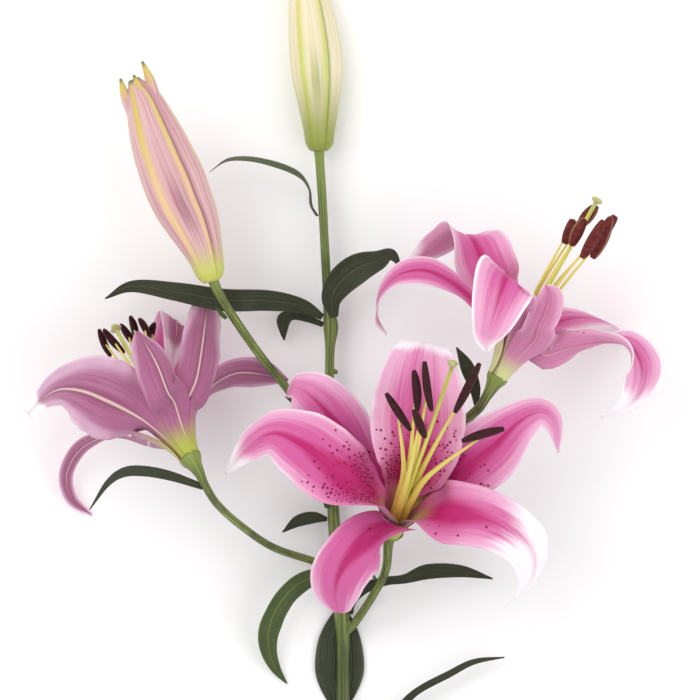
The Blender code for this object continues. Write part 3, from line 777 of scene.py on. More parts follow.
@dataclass(frozen=True)
class LeafFinish:
    """Upper and lower face of a leaf."""

    name: str
    body: Tint
    light: Tint
    dark: Tint

    @cache
    def face(self, back: bool) -> Material:
        """Make one face with parallel veins.

        Args:
            back: True for the paler lower face.

        Returns:
            The material.
        """
        if back:
            pen = Sketch(self.name + "_back", Tint.LEAF_BACK, 0.5, subsurface=0.04)
        else:
            pen = Sketch(self.name + "_face", self.body, 0.38, subsurface=0.04)
        vector, across, _ = pen.uv()
        side = pen.edge(across)
        lines = pen.math("SINE", pen.times(side, 44.0))
        streak = pen.streaks(vector, (30.0, 1.6, 1.0), 4.0)
        cloud = pen.grain(60.0)
        pen.paint(pen.ramp(streak, 0.35, 0.7), self.body if back else self.dark)
        pen.paint(pen.ramp(lines, 0.55, 1.0, 0.0, 0.3), self.light)
        pen.paint(pen.ramp(cloud, 0.4, 0.7, 0.0, 0.5), self.light if back else self.dark)
        pen.paint(pen.ramp(side, 0.02, 0.09, 0.55, 0.0), self.light)
        pen.paint(pen.ramp(side, 0.9, 1.0, 0.0, 0.35), self.light)
        pen.relief(pen.plus(pen.ramp(lines, -1.0, 1.0), streak), 0.5, 0.0003)
        return pen.finish(pen.ramp(cloud, 0.3, 0.7, 0.34, 0.52))


class StemFinish(Enum):
    """Finishes on the stem."""

    RIND = "stem_rind"
    CUT = "stem_cut"

    @cache
    def make(self) -> Material:
        """Make the finish.

        Returns:
            The material.
        """
        if self is StemFinish.CUT:
            pen = Sketch(self.value, Tint.CUT, 0.6, subsurface=0.1)
            fibre = pen.grain(900.0)
            pen.relief(fibre, 0.5, 0.0002)
            pen.paint(pen.ramp(fibre, 0.35, 0.7), Tint.CUT_FIBRE)
            return pen.finish()
        pen = Sketch(self.value, Tint.STEM, 0.42, subsurface=0.05)
        vector, across, along = pen.uv()
        streak = pen.streaks(vector, (22.0, 7.0, 1.0), 4.0)
        cloud = pen.streaks(pen.place(), (70.0, 22.0, 70.0), 4.0)
        pen.paint(pen.ramp(streak, 0.35, 0.65), Tint.STEM_LIGHT)
        pen.paint(pen.ramp(cloud, 0.42, 0.72, 0.0, 0.75), Tint.STEM_DARK)
        # Painted shade: the sides and underside of each stalk are darkened towards the dark rind colour,
        # so only its top stays light.
        painted_shade_sides = pen.math("ABSOLUTE", pen.math("SUBTRACT", across, 0.5))
        pen.paint(pen.ramp(painted_shade_sides, 0.2, 0.42, 0.85, 0.0), Tint.STEM_DARK)
        pen.paint(pen.ramp(along, 0.88, 1.0, 0.0, 0.7), Tint.STEM_LIGHT)
        pen.relief(streak, 0.5, 0.0004)
        return pen.finish()


@dataclass(frozen=True)
class BudFinish:
    """Colours of a bud, with a rib down the middle of each lobe."""

    name: str
    body: Tint
    shade: Tint
    rib_low: Tint
    rib_high: Tint
    root: Tint
    blush: Tint
    root_reach: float

    def make(self) -> Material:
        """Make the bud's skin.

        Returns:
            The material.
        """
        pen = Sketch(self.name, self.body, 0.5, sheen=0.2, subsurface=0.12)
        vector, _, along = pen.uv()
        streak = pen.streaks(vector, (70.0, 1.6, 1.0), 4.0)
        pen.paint(pen.ramp(streak, 0.35, 0.7), self.shade)
        pen.paint(pen.times(pen.attribute("blush"), pen.ramp(streak, 0.3, 0.7, 0.3, 0.9)), self.blush)
        # Painted shade: a dark line in the groove of each seam, where the outer tepals meet.
        pen.paint(pen.times(pen.attribute("seam"), 0.85), self.blush)
        pen.paint(pen.attribute("rib"), pen.mix(pen.ramp(along, 0.45, 0.85), self.rib_low, self.rib_high))
        reach = pen.plus(along, pen.swing(streak, 0.12))
        pen.paint(pen.ramp(reach, 0.02, self.root_reach, 0.95, 0.0), self.root)
        pen.paint(pen.ramp(along, 0.97, 1.0, 0.0, 0.8), Tint.TIP_GREEN)
        pen.relief(streak, 0.4, 0.0004)
        return pen.finish()


class FloretFinish(Enum):
    """Finishes of the stamens, pistil and papillae."""

    FILAMENT = "filament"
    ANTHER = "anther"
    RIPE_ANTHER = "ripe_anther"
    POLLEN = "pollen"
    STYLE = "style"
    SPOT = "papilla"

    @cache
    def make(self) -> Material:
        """Make the finish.

        Returns:
            The material.
        """
        if self in (FloretFinish.FILAMENT, FloretFinish.STYLE):
            return self._stalk()
        if self is FloretFinish.SPOT:
            pen = Sketch(self.value, Tint.SPOT, 0.45, subsurface=0.05)
            pen.paint(pen.ramp(pen.grain(400.0), 0.3, 0.7, 0.0, 0.5), Tint.MAGENTA)
            return pen.finish()
        ground, over, share = {
            FloretFinish.POLLEN: (Tint.POLLEN_DARK, Tint.POLLEN, (0.4, 0.7)),
            FloretFinish.RIPE_ANTHER: (Tint.ANTHER_RED, Tint.POLLEN, (0.35, 0.7, 0.0, 0.4)),
            FloretFinish.ANTHER: (Tint.ANTHER, Tint.ANTHER_RED, (0.35, 0.7, 0.0, 0.4)),
        }[self]
        pen = Sketch(self.value, ground, 0.7, sheen=0.03)
        dust = pen.grain(420.0)
        pen.relief(dust, 0.4, 0.0002)
        pen.paint(pen.ramp(dust, *share), over)
        # A lighter line along each slit: partly the slit's own colour, partly a painted highlight.
        if self is not FloretFinish.POLLEN:
            slit = Tint.BUD_GOLD if self is FloretFinish.RIPE_ANTHER else Tint.POLLEN_DARK
            pen.paint(pen.times(pen.attribute("slit"), 0.9), slit)
        return pen.finish()

    def _stalk(self) -> Material:
        """Make the smooth flesh of the filaments or the style.

        Returns:
            The material.
        """
        golden = self is FloretFinish.FILAMENT
        pen = Sketch(self.value, Tint.FILAMENT_GOLD if golden else Tint.STYLE, 0.4, subsurface=0.12)
        vector, _, along = pen.uv()
        streak = pen.streaks(vector, (5.0, 8.0, 1.0) if golden else (6.0, 10.0, 1.0))
        pen.relief(streak, 0.3, 0.0002)
        if golden:
            pen.paint(pen.ramp(streak, 0.35, 0.7), Tint.FILAMENT)
            pen.paint(pen.ramp(along, 0.3, 0.65), Tint.FILAMENT)
        else:
            pen.paint(pen.ramp(along, 0.9, 0.97), Tint.STIGMA)
        return pen.finish()


# ---------------------------------------------------------------- scattered detail


# Smallest and largest grain as shares of the given radius
GRAIN_SIZES = (0.55, 1.2)


@dataclass
class Scatter:
    """Small grains set at random over a ground mesh by Geometry Nodes."""

    name: str
    spacing: float
    radius: float
    stretch: tuple[float, float, float]
    segments: int
    rings: int
    seed: int
    material: Material

    def tree(self) -> bpy.types.NodeTree:
        """Build the node tree with named inputs for its sizes.

        Returns:
            The tree.
        """
        tree = bpy.data.node_groups.new(self.name, "GeometryNodeTree")
        face = tree.interface
        face.new_socket("Ground", in_out="INPUT", socket_type="NodeSocketGeometry")
        for label, value in (("Spacing", self.spacing), ("Radius", self.radius)):
            face.new_socket(label, in_out="INPUT", socket_type="NodeSocketFloat").default_value = value
        face.new_socket("Seed", in_out="INPUT", socket_type="NodeSocketInt").default_value = self.seed
        face.new_socket("Grains", in_out="OUTPUT", socket_type="NodeSocketGeometry")
        source, result, share, spread, size, flat, grain, place, real, smooth, paint = (
            tree.nodes.new(kind) for kind in (
                "NodeGroupInput", "NodeGroupOutput", "GeometryNodeInputNamedAttribute",
                "GeometryNodeDistributePointsOnFaces", "FunctionNodeRandomValue", "ShaderNodeVectorMath",
                "GeometryNodeMeshUVSphere", "GeometryNodeInstanceOnPoints",
                "GeometryNodeRealizeInstances", "GeometryNodeSetShadeSmooth", "GeometryNodeSetMaterial",
            )
        )
        share.data_type = size.data_type = "FLOAT"
        share.inputs["Name"].default_value = "grains"
        spread.distribute_method = "POISSON"
        spread.inputs["Density Max"].default_value = 4.0 / self.spacing ** 2
        size.inputs[2].default_value, size.inputs[3].default_value = GRAIN_SIZES
        flat.operation = "SCALE"
        flat.inputs[0].default_value = self.stretch
        grain.inputs["Segments"].default_value = self.segments
        grain.inputs["Rings"].default_value = self.rings
        paint.inputs["Material"].default_value = self.material
        for start, end in (
            (source.outputs["Ground"], spread.inputs["Mesh"]),
            (source.outputs["Spacing"], spread.inputs["Distance Min"]),
            (source.outputs["Seed"], spread.inputs["Seed"]),
            (share.outputs[0], spread.inputs["Density Factor"]),
            (source.outputs["Seed"], size.inputs["Seed"]),
            (size.outputs[1], flat.inputs["Scale"]),
            (source.outputs["Radius"], grain.inputs["Radius"]),
            (spread.outputs["Points"], place.inputs["Points"]),
            (spread.outputs["Rotation"], place.inputs["Rotation"]),
            (grain.outputs["Mesh"], place.inputs["Instance"]),
            (flat.outputs["Vector"], place.inputs["Scale"]),
            (place.outputs["Instances"], real.inputs["Geometry"]),
            (real.outputs["Geometry"], smooth.inputs["Geometry"]),
            (smooth.outputs["Geometry"], paint.inputs["Geometry"]),
            (paint.outputs["Geometry"], result.inputs["Grains"]),
        ):
            tree.links.new(start, end)
        return tree

    def over(self, ground: Piece) -> Piece:
        """Scatter the grains over a ground object, which goes away.

        Args:
            ground: Mesh with a value "grains" from 0 to 1 at its points.

        Returns:
            The grains as a plain mesh object.
        """
        ground.modifiers.new(self.name, "NODES").node_group = self.tree()
        return baked(ground, self.name)


def ground_mesh(name: str, grids: Sequence[np.ndarray], shares: Sequence[np.ndarray]) -> Piece:
    """Make one open mesh of several grids of points as a ground for grains.

    Args:
        name: Object name.
        grids: Grids of points in millimetres.
        shares: Share of grains at each point of each grid.

    Returns:
        The ground object.
    """
    faces, start = [], 0
    for grid in grids:
        faces += grid_faces(*grid.shape[:2], start, False)
        start += grid.shape[0] * grid.shape[1]
    points = np.vstack([grid.reshape(-1, 3) for grid in grids])
    mesh = bpy.data.meshes.new(name)
    mesh.from_pydata((points * MM).tolist(), [], faces)
    keep_values(mesh, {"grains": np.concatenate([share.ravel() for share in shares])})
    return placed(name, mesh)


# ---------------------------------------------------------------- blades


@dataclass
class Blade:
    """A leaf or tepal: a sheet that follows a curve, cupped, ruffled and creased.

    A control row is x, y, z, half-width, cup and turn; a cup or turn of 0 may be left out.
    A ruffle is the height, number and phase of the waves along a margin.
    """

    controls: Sequence[Row]
    first_normal: Vec
    ruffle: tuple[float, float, float]
    rows: int
    cells: int
    looks: Optional[Vec] = None
    turn_start: float = 0.24
    groove: float = 0.5
    groove_width: float = 0.07
    shoulder: float = 0.35
    shoulder_place: float = 0.24
    shoulder_width: float = 0.13
    crimp: float = 0.3
    crimps_in_wave: float = 3.1
    middle: float = 0.9
    margin: float = 0.35

    def _turns(self, table: np.ndarray, frames: Frames) -> np.ndarray:
        """Turn each row so that the widest one's inner face looks in a direction.

        Args:
            table: Rows of the curve.
            frames: Frames of the curve.

        Returns:
            Turns in radians.
        """
        rows = len(table)
        if self.looks is None:
            return np.zeros(rows)
        start = int(self.turn_start * rows)
        first = start + rows // 10
        widest = first + int(np.argmax(table[first:, 3]))
        side, normal = frames.sides[widest], frames.normals[widest]
        full = math.atan2(-np.dot(self.looks, side), np.dot(self.looks, normal))
        return full * smooth_step(start, widest, np.arange(rows, dtype=float))

    def grid(self) -> tuple[np.ndarray, np.ndarray, np.ndarray]:
        """Lay out the sheet's middle surface.

        Returns:
            Points, the place across from -1 to 1 and the place along from 0 to 1.
        """
        table = curve_rows([(*row, 0.0, 0.0)[:6] for row in self.controls], self.rows)
        frames = Frames.along(table[:, :3], self.first_normal)
        half = np.maximum(table[:, 3], 0.25)[:, None]
        cup = np.radians(table[:, 4])[:, None]
        cup = np.where(np.abs(cup) < 0.01, 0.01, cup)
        turn = (np.radians(table[:, 5]) + self._turns(table, frames))[:, None]
        u = np.linspace(-1.0, 1.0, self.cells + 1)[None, :]
        u = np.sign(u) * np.abs(u) ** 0.92
        along = np.linspace(0.0, 1.0, self.rows)[:, None]
        across = half / cup * np.sin(u * cup)
        lift = half / cup * (1.0 - np.cos(u * cup)) + self._ruffles(u, along, half)
        fade = smooth_step(0.08, 0.2, along) * (1.0 - 0.7 * smooth_step(0.7, 1.0, along))
        span = np.minimum(1.0, half / 10.0)
        crease = (self.shoulder * bell(np.abs(u), self.shoulder_place, self.shoulder_width)
                  - self.groove * bell(u, 0.0, self.groove_width))
        lift = lift + span * fade * crease
        over = frames.sides * np.cos(turn) + frames.normals * np.sin(turn)
        face = frames.normals * np.cos(turn) - frames.sides * np.sin(turn)
        points = (table[:, None, :3] + over[:, None, :] * across[..., None]
                  + face[:, None, :] * lift[..., None])
        shape = points.shape[:2]
        return points, np.broadcast_to(u, shape), np.broadcast_to(along, shape)

    def _ruffles(self, u: np.ndarray, along: np.ndarray, half: np.ndarray) -> np.ndarray:
        """Wave and crimp the margins.

        Args:
            u: Place across from -1 to 1.
            along: Place along from 0 to 1.
            half: Half-width at each row.

        Returns:
            Lift of each point in millimetres.
        """
        height, waves, phase = self.ruffle
        free = np.sin(math.pi * along) * np.minimum(1.0, half / 8.0)
        turns = 2 * math.pi * waves * along
        wave = np.sin(turns + phase + np.where(u > 0, 1.9, 0.0))
        fine = np.sin(self.crimps_in_wave * turns + 2.3 * phase + np.where(u > 0, 0.7, 2.9))
        return height * free * (wave * u * u + self.crimp * fine * np.abs(u) ** 4)

    def sheet(self, values: Optional[dict[str, np.ndarray]] = None) -> Sheet:
        """Make the closed sheet, thin at its margins and tip.

        Args:
            values: Surface values at each point of the grid, if any.

        Returns:
            The sheet.
        """
        points, u, along = self.grid()
        thin = self.middle + (self.margin - self.middle) * u ** 2
        thickness = thin * (1.0 - 0.5 * smooth_step(0.85, 1.0, along))
        return thick_sheet(points, thickness, np.stack([0.5 + 0.5 * u, along], axis=-1), values or {})


# ---------------------------------------------------------------- blooms


class Whorl(Enum):
    """The two rings of three tepals."""

    INNER = "inner"
    OUTER = "outer"


# The funnel that tepals follow from the receptacle: height along the axis, then distance
# from the axis, half-width and share of the funnel's roundness.
FUNNEL: dict[Whorl, tuple[Row, ...]] = {
    Whorl.INNER: ((0.9, 4.1, 3.3, 1.0), (8.0, 5.1, 5.0, 1.0), (18.0, 8.1, 8.2, 1.0),
                  (30.0, 13.1, 12.8, 1.0)),
    Whorl.OUTER: ((0.9, 5.9, 4.2, 1.0), (8.0, 7.0, 6.0, 1.0), (18.0, 10.4, 8.8, 0.85),
                  (30.0, 16.4, 11.5, 0.5)),
}
# Depth below the tepals' roots, radius
RECEPTACLE = ((11.0, 3.0), (4.0, 4.4), (0.0, 6.4), (-1.6, 6.5))
# Height along the axis, radius
CUSHION = ((0.4, 2.6), (1.4, 3.2), (2.6, 3.0), (3.2, 2.2))
OVARY = ((0.5, 1.2), (6.0, 1.5), (24.0, 1.9), (45.0, 1.25))
# Depth below the tip, radius
STIGMA = ((6.0, 1.2), (3.4, 2.0), (1.6, 3.1), (0.5, 3.0), (0.0, 1.6))
# Height along the axis, distance from it, share of the filament's root radius
FILAMENT_FOOT = ((1.2, 2.25, 0.8), (16.0, 2.6, 1.0), (36.0, 3.6, 0.95))
FILAMENT_BEND, FILAMENT_TIP = 62.0, 0.5

PAPILLA_SPACING, PAPILLA_RADIUS = 2.2, 0.7
POLLEN_RADIUS = 0.14


@dataclass(frozen=True)
class TepalShape:
    """One tepal: its free points are control rows of a blade beyond the funnel."""

    name: str
    whorl: Whorl
    azimuth: float
    free: tuple[Row, ...]
    ruffle: tuple[float, float, float]
    looks: Optional[Vec] = None
    fade_from: float = 0.74
    fade_span: float = 0.24
    spots: float = 0.0
    wash: float = 0.0
    depth: float = 1.0
    rim: float = 0.62

    def spot_share(self, u: np.ndarray, along: np.ndarray) -> np.ndarray:
        """Say where papillae stand on the inner face.

        Args:
            u: Place across from -1 to 1.
            along: Place along from 0 to 1.

        Returns:
            Share of papillae at each point.
        """
        edge = np.abs(u)
        band = smooth_step(0.2, 0.27, along) * (1.0 - smooth_step(0.36, 0.6, along))
        clear = smooth_step(0.1, 0.26, edge) * (1.0 - smooth_step(0.78, 0.92, edge))
        return self.spots * band * clear

    def colour_values(self, u: np.ndarray, along: np.ndarray) -> dict[str, np.ndarray]:
        """Say where the tepal is deep magenta, where it is light pink and where white.

        Args:
            u: Place across from -1 to 1.
            along: Place along from 0 to 1.

        Returns:
            The values "deep", "soft" and "pale" at each point.
        """
        edge = np.abs(u)
        width = 0.12 + 0.3 * (1.0 - smooth_step(0.25, 0.8, along))
        tip = smooth_step(self.fade_from, self.fade_from + self.fade_span, along)
        stripe = bell(edge, 0.0, width) * (1.0 - 0.6 * smooth_step(0.55, 0.95, along)) * (1.0 - tip)
        heart = 0.35 * (1.0 - smooth_step(0.3, 0.55, along)) * (1.0 - 0.6 * edge)
        side = smooth_step(0.35, 1.0, edge) * smooth_step(0.2, 0.6, along)
        rim = smooth_step(0.7, 1.0, edge) * smooth_step(0.3, 0.65, along)
        values = {
            "deep": self.depth * (0.8 * stripe + heart) + 0.3 * self.spot_share(u, along),
            "soft": 0.85 * side + 0.5 * smooth_step(0.55, 1.0, along) + self.wash,
            "pale": np.maximum(self.rim * rim, tip * (0.35 + 0.65 * edge)) + 0.4 * tip * tip,
        }
        return {key: np.clip(value, 0.0, 1.0) for key, value in values.items()}


@dataclass(frozen=True)
class Stamen:
    """One stamen: azimuth at the root, where the anther hangs and its two ends."""

    azimuth: float
    middle: Vec
    tail: Vec
    head: Vec


@dataclass
class Bloom:
    """An open bloom: six tepals, six stamens and a pistil."""

    name: str
    base: Vec
    axis: Vec
    up: Vec
    finish: PetalFinish
    tepals: tuple[TepalShape, ...]
    stamens: tuple[Stamen, ...]
    stigma: Vec
    anther: FloretFinish = FloretFinish.ANTHER
    anther_radius: float = 2.3
    filament_root: float = 1.25
    flare: float = 6.0
    pollen_spacing: float = 2.4
    seed: int = 3

    def __post_init__(self) -> None:
        """Work out the bloom's own directions."""
        self.origin = np.array(self.base, dtype=float)
        self.line = unit(self.axis)
        rise = np.array(self.up, dtype=float)
        self.rise = unit(rise - self.line * rise.dot(self.line))
        self.right = np.cross(self.rise, self.line)

    def radial(self, azimuth: float) -> np.ndarray:
        """Return the direction away from the axis at an azimuth in degrees."""
        angle = math.radians(azimuth)
        return self.right * math.cos(angle) + self.rise * math.sin(angle)

    def point(self, azimuth: float, height: float, radius: float) -> np.ndarray:
        """Return the point at a height along the axis and a distance from it."""
        return self.origin + self.line * height + self.radial(azimuth) * radius

    def _blade(self, shape: TepalShape) -> Blade:
        """Lay one tepal's curve from the funnel into its free points.

        Args:
            shape: The tepal.

        Returns:
            Its blade.
        """
        controls = []
        for height, radius, half, wrap in FUNNEL[shape.whorl]:
            place = self.point(shape.azimuth, height, radius)
            controls.append((*place, half, wrap * math.degrees(half / radius)))
        return Blade([*controls, *shape.free], -self.radial(shape.azimuth), shape.ruffle, TEPAL_ROWS,
                     TEPAL_CELLS, shape.looks)

    def _build_tepals(self) -> None:
        """Make the six tepals and the papillae that stand on them, and fix them to the body."""
        nodes, grounds, shares = [], [], []
        for shape in self.tepals:
            blade = self._blade(shape)
            _, u, along = blade.grid()
            sheet = blade.sheet(shape.colour_values(u, along))
            nodes.append(f"{self.name}_tepal_{shape.name}")
            item = sheet.make(nodes[-1] + "_petal", self.finish.inner(), self.finish.outer())
            settle(item, "tepal_pink", nodes[-1])
            grounds.append(sheet.points[:u.size].reshape(*u.shape, 3))
            shares.append(shape.spot_share(u, along))
        papillae = Scatter(self.name + "_papillae", PAPILLA_SPACING * MM, PAPILLA_RADIUS * MM,
                           (1.0, 1.3, 0.8), 8, 5, self.seed, FloretFinish.SPOT.make())
        settle(papillae.over(ground_mesh(self.name + "_ground", grounds, shares)), "tepal_pink", *nodes)

    def _filament(self, index: int, stamen: Stamen) -> Piece:
        """Make one filament, thick at its root.

        Args:
            index: Number of the filament.
            stamen: The stamen.

        Returns:
            The filament.
        """
        root = self.filament_root
        rows = [(*self.point(stamen.azimuth, height, away), share * root)
                for height, away, share in FILAMENT_FOOT]
        low, middle = np.array(rows[-1][:3]), np.array(stamen.middle, dtype=float)
        bend = (0.6 * self.point(stamen.azimuth, FILAMENT_BEND, self.flare)
                + 0.4 * (0.45 * middle + 0.55 * low))
        table = curve_rows([*rows, (*bend, 0.45 + 0.4 * root), (*middle, FILAMENT_TIP)], FILAMENT_ROWS)
        sheet = tube_sheet(table[:, :3], round_reach(table[:, 3]), self.radial(stamen.azimuth),
                           FILAMENT_SIDES)
        return sheet.make(f"{self.name}_filament_{index}", FloretFinish.FILAMENT.make())

    def _build_filaments(self) -> Piece:
        """Make the six filaments on the low cushion that they grow from.

        Returns:
            The filaments as one body.
        """
        places = np.array([self.point(0, height, 0.0) for height, _ in CUSHION])
        radii = [radius for _, radius in CUSHION]
        cushion = tube_sheet(places, round_reach(radii), self.rise, CUSHION_SIDES)
        return united(self.name + "_filaments", [
            cushion.make(self.name + "_cushion", FloretFinish.FILAMENT.make()),
            *(self._filament(index, stamen) for index, stamen in enumerate(self.stamens))])

    def _anther(self, index: int, stamen: Stamen) -> Piece:
        """Make one anther: a bent spindle with a long slit on each side.

        Args:
            index: Number of the anther.
            stamen: The stamen.

        Returns:
            The anther.
        """
        tail, head = np.array(stamen.tail, dtype=float), np.array(stamen.head, dtype=float)
        line = unit(head - tail)
        first = unit(np.array(UP) - line * line[2])
        steps = np.linspace(0.0, 1.0, ANTHER_ROWS)
        sway = 0.7 * math.sin(1.7 * index + self.seed) * np.sin(math.pi * steps)
        places = tail + (head - tail) * steps[:, None] + np.cross(line, first) * sway[:, None]
        girth = self.anther_radius * np.clip(np.sin(math.pi * (0.05 + 0.9 * steps)), 0.0, 1.0) ** 0.45
        offset = 0.5 * math.pi + 0.5 * math.sin(2.1 * index)

        def reach(angles: np.ndarray, row: int) -> np.ndarray:
            """Ring radii with two slits."""
            return girth[row] * (1.0 - 0.26 * bell(np.sin(angles - offset), 0.0, 0.22))

        sheet = tube_sheet(places, reach, first, ANTHER_SIDES)
        # 'slit' marks the two slits, which the finish paints as a lighter line that is partly a painted
        # highlight.
        across = np.sin(sheet.uv[:, 0] * 2 * math.pi - offset)
        sheet.values = {"slit": bell(across, 0.0, 0.12), "grains": np.full(len(across), 0.8)}
        return sheet.make(f"{self.name}_anther_{index}", self.anther.make())

    def _build_anthers(self) -> tuple[Piece, Piece]:
        """Make the six anthers and dust them with pollen.

        Returns:
            The anthers and their pollen.
        """
        anthers = gathered(self.name + "_anthers", [self._anther(index, stamen)
                                                    for index, stamen in enumerate(self.stamens)])
        dust = Scatter(self.name + "_pollen", self.pollen_spacing * MM, POLLEN_RADIUS * MM,
                       (1.0, 1.0, 0.8), 6, 4, self.seed, FloretFinish.POLLEN.make())
        return anthers, dust.over(placed(self.name + "_pollen_ground", anthers.data.copy()))

    def _build_pistil(self) -> Piece:
        """Make the ovary, style and three-lobed stigma.

        Returns:
            The pistil.
        """
        tip = np.array(self.stigma, dtype=float)
        away = unit(tip - self.point(0, 60.0, 0.0))
        bend = 0.5 * self.point(0, 75.0, 0.0) + 0.5 * (tip - away * 40)
        ovary = [(*self.point(0, height, 0.0), radius) for height, radius in OVARY]
        stigma = [(*(tip - away * depth), radius) for depth, radius in STIGMA]
        table = curve_rows([*ovary, (*bend, 1.05), *stigma], STYLE_ROWS)
        lobes = 0.03 + 0.2 * smooth_step(0.93, 0.98, np.linspace(0.0, 1.0, STYLE_ROWS))

        def reach(angles: np.ndarray, row: int) -> np.ndarray:
            """Ring radii with three lobes at the stigma."""
            return table[row, 3] * (1.0 + lobes[row] * np.cos(3 * angles))

        sheet = tube_sheet(table[:, :3], reach, self.rise, STYLE_SIDES)
        return sheet.make(self.name + "_style_and_stigma", FloretFinish.STYLE.make())

    def build(self) -> None:
        """Make the bloom's pieces and fix each to the body."""
        self._build_tepals()
        for item in (self._build_filaments(), *self._build_anthers()):
            settle(item, "anther_brown", self.name + "_stamens")
        settle(self._build_pistil(), "style_green", self.name + "_pistil")


FRONT_TEPALS = (
    TepalShape(
        "top", Whorl.INNER, 82,
        ((42, 190, 80, 24, 34), (42.5, 210, 92, 28, 26), (43.5, 231, 98, 24.5, 14),
         (45, 245, 97, 18.5, 6), (46, 252.5, 91, 14.5), (46.5, 252.5, 83, 9.5), (46, 249, 77, 2)),
        (3.2, 3, 0.4), (0, -0.3, 1), fade_from=0.78, fade_span=0.12, spots=1, wash=0.2, depth=0.8,
    ),
    TepalShape(
        "left", Whorl.INNER, 194,
        ((8, 172, 87, 20, 36), (-8, 184, 94, 22, 20), (-24, 196, 98, 20, 10), (-39, 202, 95, 14.5, 5),
         (-53, 195, 88, 10), (-67, 179, 76, 1.2)),
        (2, 3, 1), (0.1, 0.2, 1), spots=1, depth=1.2,
    ),
    TepalShape(
        "right_low", Whorl.INNER, 320,
        ((57, 156, 83, 19, 36), (74, 155, 92, 18, 20), (91, 149, 92, 16, 8), (105, 137, 84, 14),
         (108, 122, 70, 10.5), (101, 109, 56, 6), (93, 102, 45, 1.2)),
        (1.6, 3, 2), (-0.1, 0.2, 1), fade_from=0.32, fade_span=0.38, spots=0.06, wash=0.3,
    ),
    TepalShape(
        "left_high", Whorl.OUTER, 130,
        ((10, 187, 66, 14, 24), (-4, 207, 72, 19, 12), (-17, 222, 75, 16, 6), (-27, 228, 71, 9),
         (-32, 224, 64, 2)),
        (1.2, 2, 0), (0.2, -0.1, 1), fade_from=0.9, spots=0.25, depth=1.35,
    ),
    TepalShape(
        "right_high", Whorl.OUTER, 22,
        ((64, 178, 73, 18, 20), (83, 192.5, 79, 19.5, 10), (101, 209, 82, 12, 5), (113, 214, 80, 8),
         (120.5, 207, 75, 6.5), (123, 191, 68, 1.5)),
        (1, 2, 0.6), (0, 0, 1), fade_from=0.84, spots=0.4, wash=0.1,
    ),
    TepalShape(
        "low", Whorl.OUTER, 248,
        ((18, 144, 78, 15.5, 18), (6.5, 134, 72, 17, 12), (-2, 121, 59, 16.5, 6), (-4.5, 109, 45, 13.5),
         (-3, 101, 35, 8), (-2, 98, 31, 3)),
        (1, 2, 2), (0, -0.3, 1), fade_from=0.92, spots=0.06, wash=-0.25, depth=1.3,
    ),
)
FRONT_STAMENS = (
    Stamen(160, (31, 214, 128), (24.4, 225, 131), (38.3, 204, 125)),
    Stamen(112, (41, 226, 133), (40, 238, 134), (42, 215, 131)),
    Stamen(215, (43, 208, 140), (40, 216, 142), (46.4, 200, 138)),
    Stamen(75, (48, 229, 137), (46, 243, 138), (50, 215, 135)),
    Stamen(35, (70, 228, 134), (77, 242, 135), (63, 214, 132)),
    Stamen(345, (79, 201, 130), (67, 198, 129), (91, 205, 130)),
)
LEFT_TEPALS = (
    TepalShape(
        "wide", Whorl.INNER, 40,
        ((-119, 213, 80, 20, 32), (-133, 220, 80, 25, 18), (-148, 226, 78, 20.5, 8),
         (-161, 227, 72, 11.5), (-171, 222, 66, 6.5), (-180, 213, 61, 4)),
        (3.2, 3.6, 0), (-0.1, 0.3, -1), fade_from=0.84, fade_span=0.1, wash=0.25,
    ),
    TepalShape(
        "near", Whorl.OUTER, 120,
        ((-100, 226, 98, 13, 34), (-105.5, 240, 96, 14, 30), (-112, 252, 91, 9.5, 16),
         (-117, 260, 84, 1.5)),
        (0.8, 2, 0), (-0.6, 0, -0.8), fade_from=0.92, wash=-0.4, rim=0.3,
    ),
    TepalShape(
        "upright", Whorl.INNER, 162,
        ((-84, 232, 72, 12.5, 30), (-81.5, 247, 58, 12.5, 18), (-80, 260, 44, 11.5, 10),
         (-79, 269, 32, 10.5, 4), (-78, 276, 24, 7)),
        (1.8, 2.5, 1), (-0.4, -0.2, -0.9), fade_from=0.92, wash=-0.25, rim=0.4,
    ),
    TepalShape(
        "right", Whorl.OUTER, 200,
        ((-81, 222, 60, 10, 20), (-73, 231, 50, 11, 12), (-61, 236.5, 39, 10.5, 8),
         (-46, 235.5, 29, 8.5), (-32, 231.5, 21, 1.5)),
        (1, 2, 1), fade_from=0.9, wash=-0.3, rim=0.4,
    ),
    TepalShape(
        "far", Whorl.INNER, 278,
        ((-99, 210, 45, 19, 30), (-101, 224, 26, 22, 22), (-102, 240, 14, 18, 14),
         (-99, 254, 11, 15, 6), (-96.5, 264, 16, 13), (-96, 265.5, 24, 11.5), (-96.5, 257, 30, 9),
         (-98, 246, 33, 5.5), (-98.5, 237, 34, 1.2)),
        (1.6, 2.5, 2), (-0.2, 0.3, 0.9), fade_from=0.82, fade_span=0.12, spots=0.1,
    ),
    TepalShape(
        "low", Whorl.OUTER, 335,
        ((-112, 195, 55, 11, 20), (-125, 199, 46, 8, 10), (-140, 199, 36, 6.8, 8),
         (-153, 191, 26, 5.8, 6), (-160, 177, 16, 4.6, 4), (-157, 163, 8, 3.4), (-146, 154, 2.6, 1.2)),
        (0.8, 2, 0), fade_from=0.84, wash=-0.2, rim=0.5,
    ),
)
LEFT_STAMENS = (
    Stamen(20, (-137, 253.5, 38), (-140, 261, 44), (-134, 246, 31)),
    Stamen(70, (-131.6, 254.5, 46), (-137, 261, 54), (-126, 248, 38)),
    Stamen(200, (-120.6, 262, 34), (-122, 268.5, 43), (-119.5, 256, 24)),
    Stamen(150, (-114, 262, 40), (-116.6, 267, 51), (-112, 258, 30)),
    Stamen(240, (-110, 260, 26), (-108.5, 264.5, 37), (-111, 256, 16)),
    Stamen(310, (-124, 258, 17), (-128, 264, 24), (-120, 252, 10)),
)
